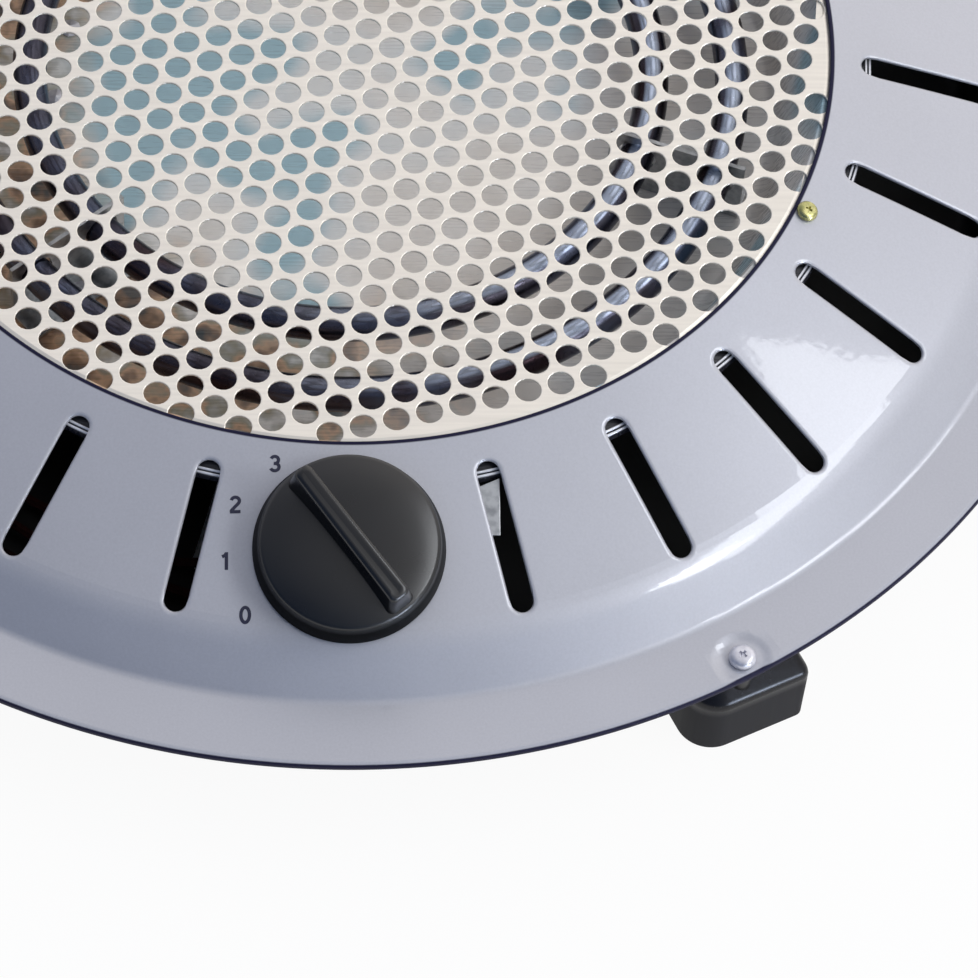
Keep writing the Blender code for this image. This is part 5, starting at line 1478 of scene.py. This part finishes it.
class BRAZIER_OT_screws(bpy.types.Operator):
    """Set the zinc screws of the feet and the yellow screws that clamp the grille"""

    bl_idname = "brazier.screws"
    bl_label = "Screws"

    def execute(self, context):
        seat = RIM_HEIGHT - SEAT_GAP
        turn = Matrix.Rotation(FOOT_SCREW_TURN, 4, "Z")
        foot_places = [compass_frame(angle, FOOT_SCREW_RADIUS, seat) @ turn for angle in FOOT_COMPASSES]
        grille_places = [cone_frame(angle, GRILLE_SCREW_RADIUS) for angle in GRILLE_SCREW_COMPASSES]
        for kind, sizes, slot, places in (
            ("foot_screw", FOOT_SCREW_HEAD + FOOT_SCREW_SHANK, "bright_zinc", foot_places),
            ("grille_screw", GRILLE_SCREW_HEAD + GRILLE_SCREW_SHANK, "yellow_zinc", grille_places),
        ):
            screws = repeat(f"{kind}s", screw_head(kind, *sizes, slot), places, slot)
            keep(screws, slot, "root", *(f"{kind}_{number}" for number in (1, 2, 3)))
        return {"FINISHED"}


class BRAZIER_OT_heat_shield(bpy.types.Operator):
    """Fold the galvanised plate behind the switch, with a wall and a lug out to the pan's hem"""

    bl_idname = "brazier.heat_shield"
    bl_label = "Heat shield"

    def execute(self, context):
        right = SHIELD_HALF_WIDTH * 1.5
        outline = [
            (-SHIELD_HALF_WIDTH, -SHIELD_OUTER_EDGE), (SHIELD_HALF_WIDTH, -SHIELD_OUTER_EDGE),
            (SHIELD_HALF_WIDTH, SHIELD_LUG_OUTER), (SHIELD_LUG_REACH, SHIELD_LUG_OUTER),
            (SHIELD_LUG_REACH, SHIELD_LUG_INNER), (right, SHIELD_WALL_PLACE),
            (-SHIELD_HALF_WIDTH, SHIELD_WALL_PLACE),
        ]
        bore = arc((0.0, 0.0), SHIELD_BORE, SHIELD_BORE, 0.0, 360.0, 24)[:-1]
        shield = mesh_part("heat_shield", [], [], finish("galvanised"))
        with worked(shield.data) as shape:
            rim, hole = (
                [shape.verts.new((x, y, -SHIELD_DEPTH)) for x, y in loop] for loop in (outline, bore)
            )
            pairs = [(loop[k - 1], loop[k]) for loop in (rim, hole) for k in range(len(loop))]
            edges = [shape.edges.new(pair) for pair in pairs]
            bmesh.ops.triangle_fill(shape, edges=edges, use_beauty=True)
            low = [
                shape.verts.new((x, SHIELD_WALL_PLACE, -SHIELD_DEPTH - SHIELD_WALL_HEIGHT))
                for x in (-SHIELD_HALF_WIDTH, right)
            ]
            shape.faces.new((*rim[5:], *low))
            bmesh.ops.recalc_face_normals(shape, faces=shape.faces)
            face(shape, 1)
        shield.matrix_world = KNOB_FRAME
        keep(sheet(shield, SHIELD_SHEET, 0.00012), "galvanised", "root", "switch_heat_shield")
        return {"FINISHED"}


class BRAZIER_OT_knob(bpy.types.Operator):
    """Mould the knob: a hollow turned body, and the pointer rib joined to it"""

    bl_idname = "brazier.knob"
    bl_label = "Knob"

    def execute(self, context):
        settings = context.scene.brazier_knob
        pointer = KNOB_FRAME @ Matrix.Rotation(DIAL_FIRST_ANGLE, 4, "Z")
        inner = settings.skirt - KNOB_WALL
        fall = settings.dome - KNOB_SHOULDER_HEIGHT
        dome = [
            (KNOB_SHOULDER_RADIUS * step / 12.0, settings.dome - fall * (step / 12.0) ** 2.8)
            for step in range(11)
        ]
        corners = [
            dome.pop(),
            (KNOB_SHOULDER_RADIUS, KNOB_SHOULDER_HEIGHT),
            (settings.skirt, KNOB_LIFT),
            (inner, KNOB_LIFT),
            (inner, KNOB_HOLLOW),
            (KNOB_HUB_RADIUS, KNOB_HOLLOW),
            (KNOB_HUB_RADIUS, HUB_LIFT),
            (KNOB_BORE_RADIUS, HUB_LIFT),
            (KNOB_BORE_RADIUS, KNOB_BORE_TOP),
            (0.0, KNOB_BORE_TOP),
        ]
        plastic = finish("black_plastic")
        profile = dome + rounded_path(corners, KNOB_BENDS)
        body = settle(turned("control_knob", profile, 128, plastic, pointer))
        rib = settle(skin("knob_rib", rib_loops(settings), plastic, pointer))
        keep(boolean(body, rib, "UNION"), "black_plastic", "knob", "knob")
        return {"FINISHED"}


class BRAZIER_OT_dial(bpy.types.Operator):
    """Print plain numerals on the cone beside the knob, each from strokes of one width"""

    bl_idname = "brazier.dial"
    bl_label = "Dial"

    def execute(self, context):
        size = context.scene.brazier_knob.numeral
        for number, (label, radius) in enumerate(DIAL_RADII.items()):
            angle = DIAL_START + DIAL_STEP * number
            points, faces = [], []
            for stroke in NUMERALS[label]:
                first = len(points)
                points += ribbon(stroke)
                faces += [(k, k + 1, k + 3, k + 2) for k in range(first, len(points) - 3, 2)]
            placed = []
            for x, y in points:
                local = (x * size - radius * math.sin(angle), y * size + radius * math.cos(angle), 0.0)
                point = KNOB_FRAME @ Vector(local)
                point.z = ring_height(math.hypot(point.x, point.y)) + INK_HEIGHT
                placed.append(point)
            part = mesh_part(f"numeral_{label}", placed, faces, finish("dial_ink"))
            with worked(part.data) as shape:
                face(shape, 1)
            keep(settle(part), "ring_paint", "root")
        return {"FINISHED"}


class BRAZIER_OT_stage(bpy.types.Operator):
    """Set the floor, the sky and the soft lamps"""

    bl_idname = "brazier.stage"
    bl_label = "Stage"

    def execute(self, context):
        settings = context.scene.brazier_stage
        studio_floor(settings)
        studio_sky(settings)
        power = settings.key_power
        soft_lamp("window_lamp", [(0.937, -0.741, 0.889), (0.842, 0.231, 1.118)], 0.30, power)
        soft_lamp("low_window_lamp", [(0.83, -0.76, 0.88), (0.93, -0.56, 0.99)], 0.18, power * 0.24)
        context.scene.view_settings.view_transform = "Standard"
        return {"FINISHED"}


OPERATORS = [
    BRAZIER_OT_finish_nodes, BRAZIER_OT_camera, BRAZIER_OT_top_ring, BRAZIER_OT_grille,
    BRAZIER_OT_reflector, BRAZIER_OT_elements, BRAZIER_OT_casing, BRAZIER_OT_feet, BRAZIER_OT_screws,
    BRAZIER_OT_heat_shield, BRAZIER_OT_knob, BRAZIER_OT_dial, BRAZIER_OT_stage,
]


class BRAZIER_PT_panel(bpy.types.Panel):
    """The brazier's pieces"""

    bl_label = "Electric brazier"
    bl_space_type = "VIEW_3D"
    bl_region_type = "UI"
    bl_category = "Brazier"

    def draw(self, context):
        for made in OPERATORS:
            self.layout.operator(made.bl_idname)


SETTINGS = {
    "brazier_ring": RingSettings, "brazier_grille": GrilleSettings, "brazier_heat": HeatSettings,
    "brazier_knob": KnobSettings, "brazier_stage": StageSettings,
}


def register():
    """Add the settings, the operators and the panel."""
    for made in (*SETTINGS.values(), *OPERATORS, BRAZIER_PT_panel):
        bpy.utils.register_class(made)
    for name, made in SETTINGS.items():
        setattr(bpy.types.Scene, name, PointerProperty(type=made))


def unregister():
    """Take them all out again."""
    for name in SETTINGS:
        delattr(bpy.types.Scene, name)
    for made in (BRAZIER_PT_panel, *reversed(OPERATORS), *reversed(list(SETTINGS.values()))):
        bpy.utils.unregister_class(made)


def main():
    """Build every piece in order."""
    register()
    for made in OPERATORS:
        getattr(bpy.ops.brazier, made.bl_idname.split(".")[1])()


if __name__ == "__main__":
    main()
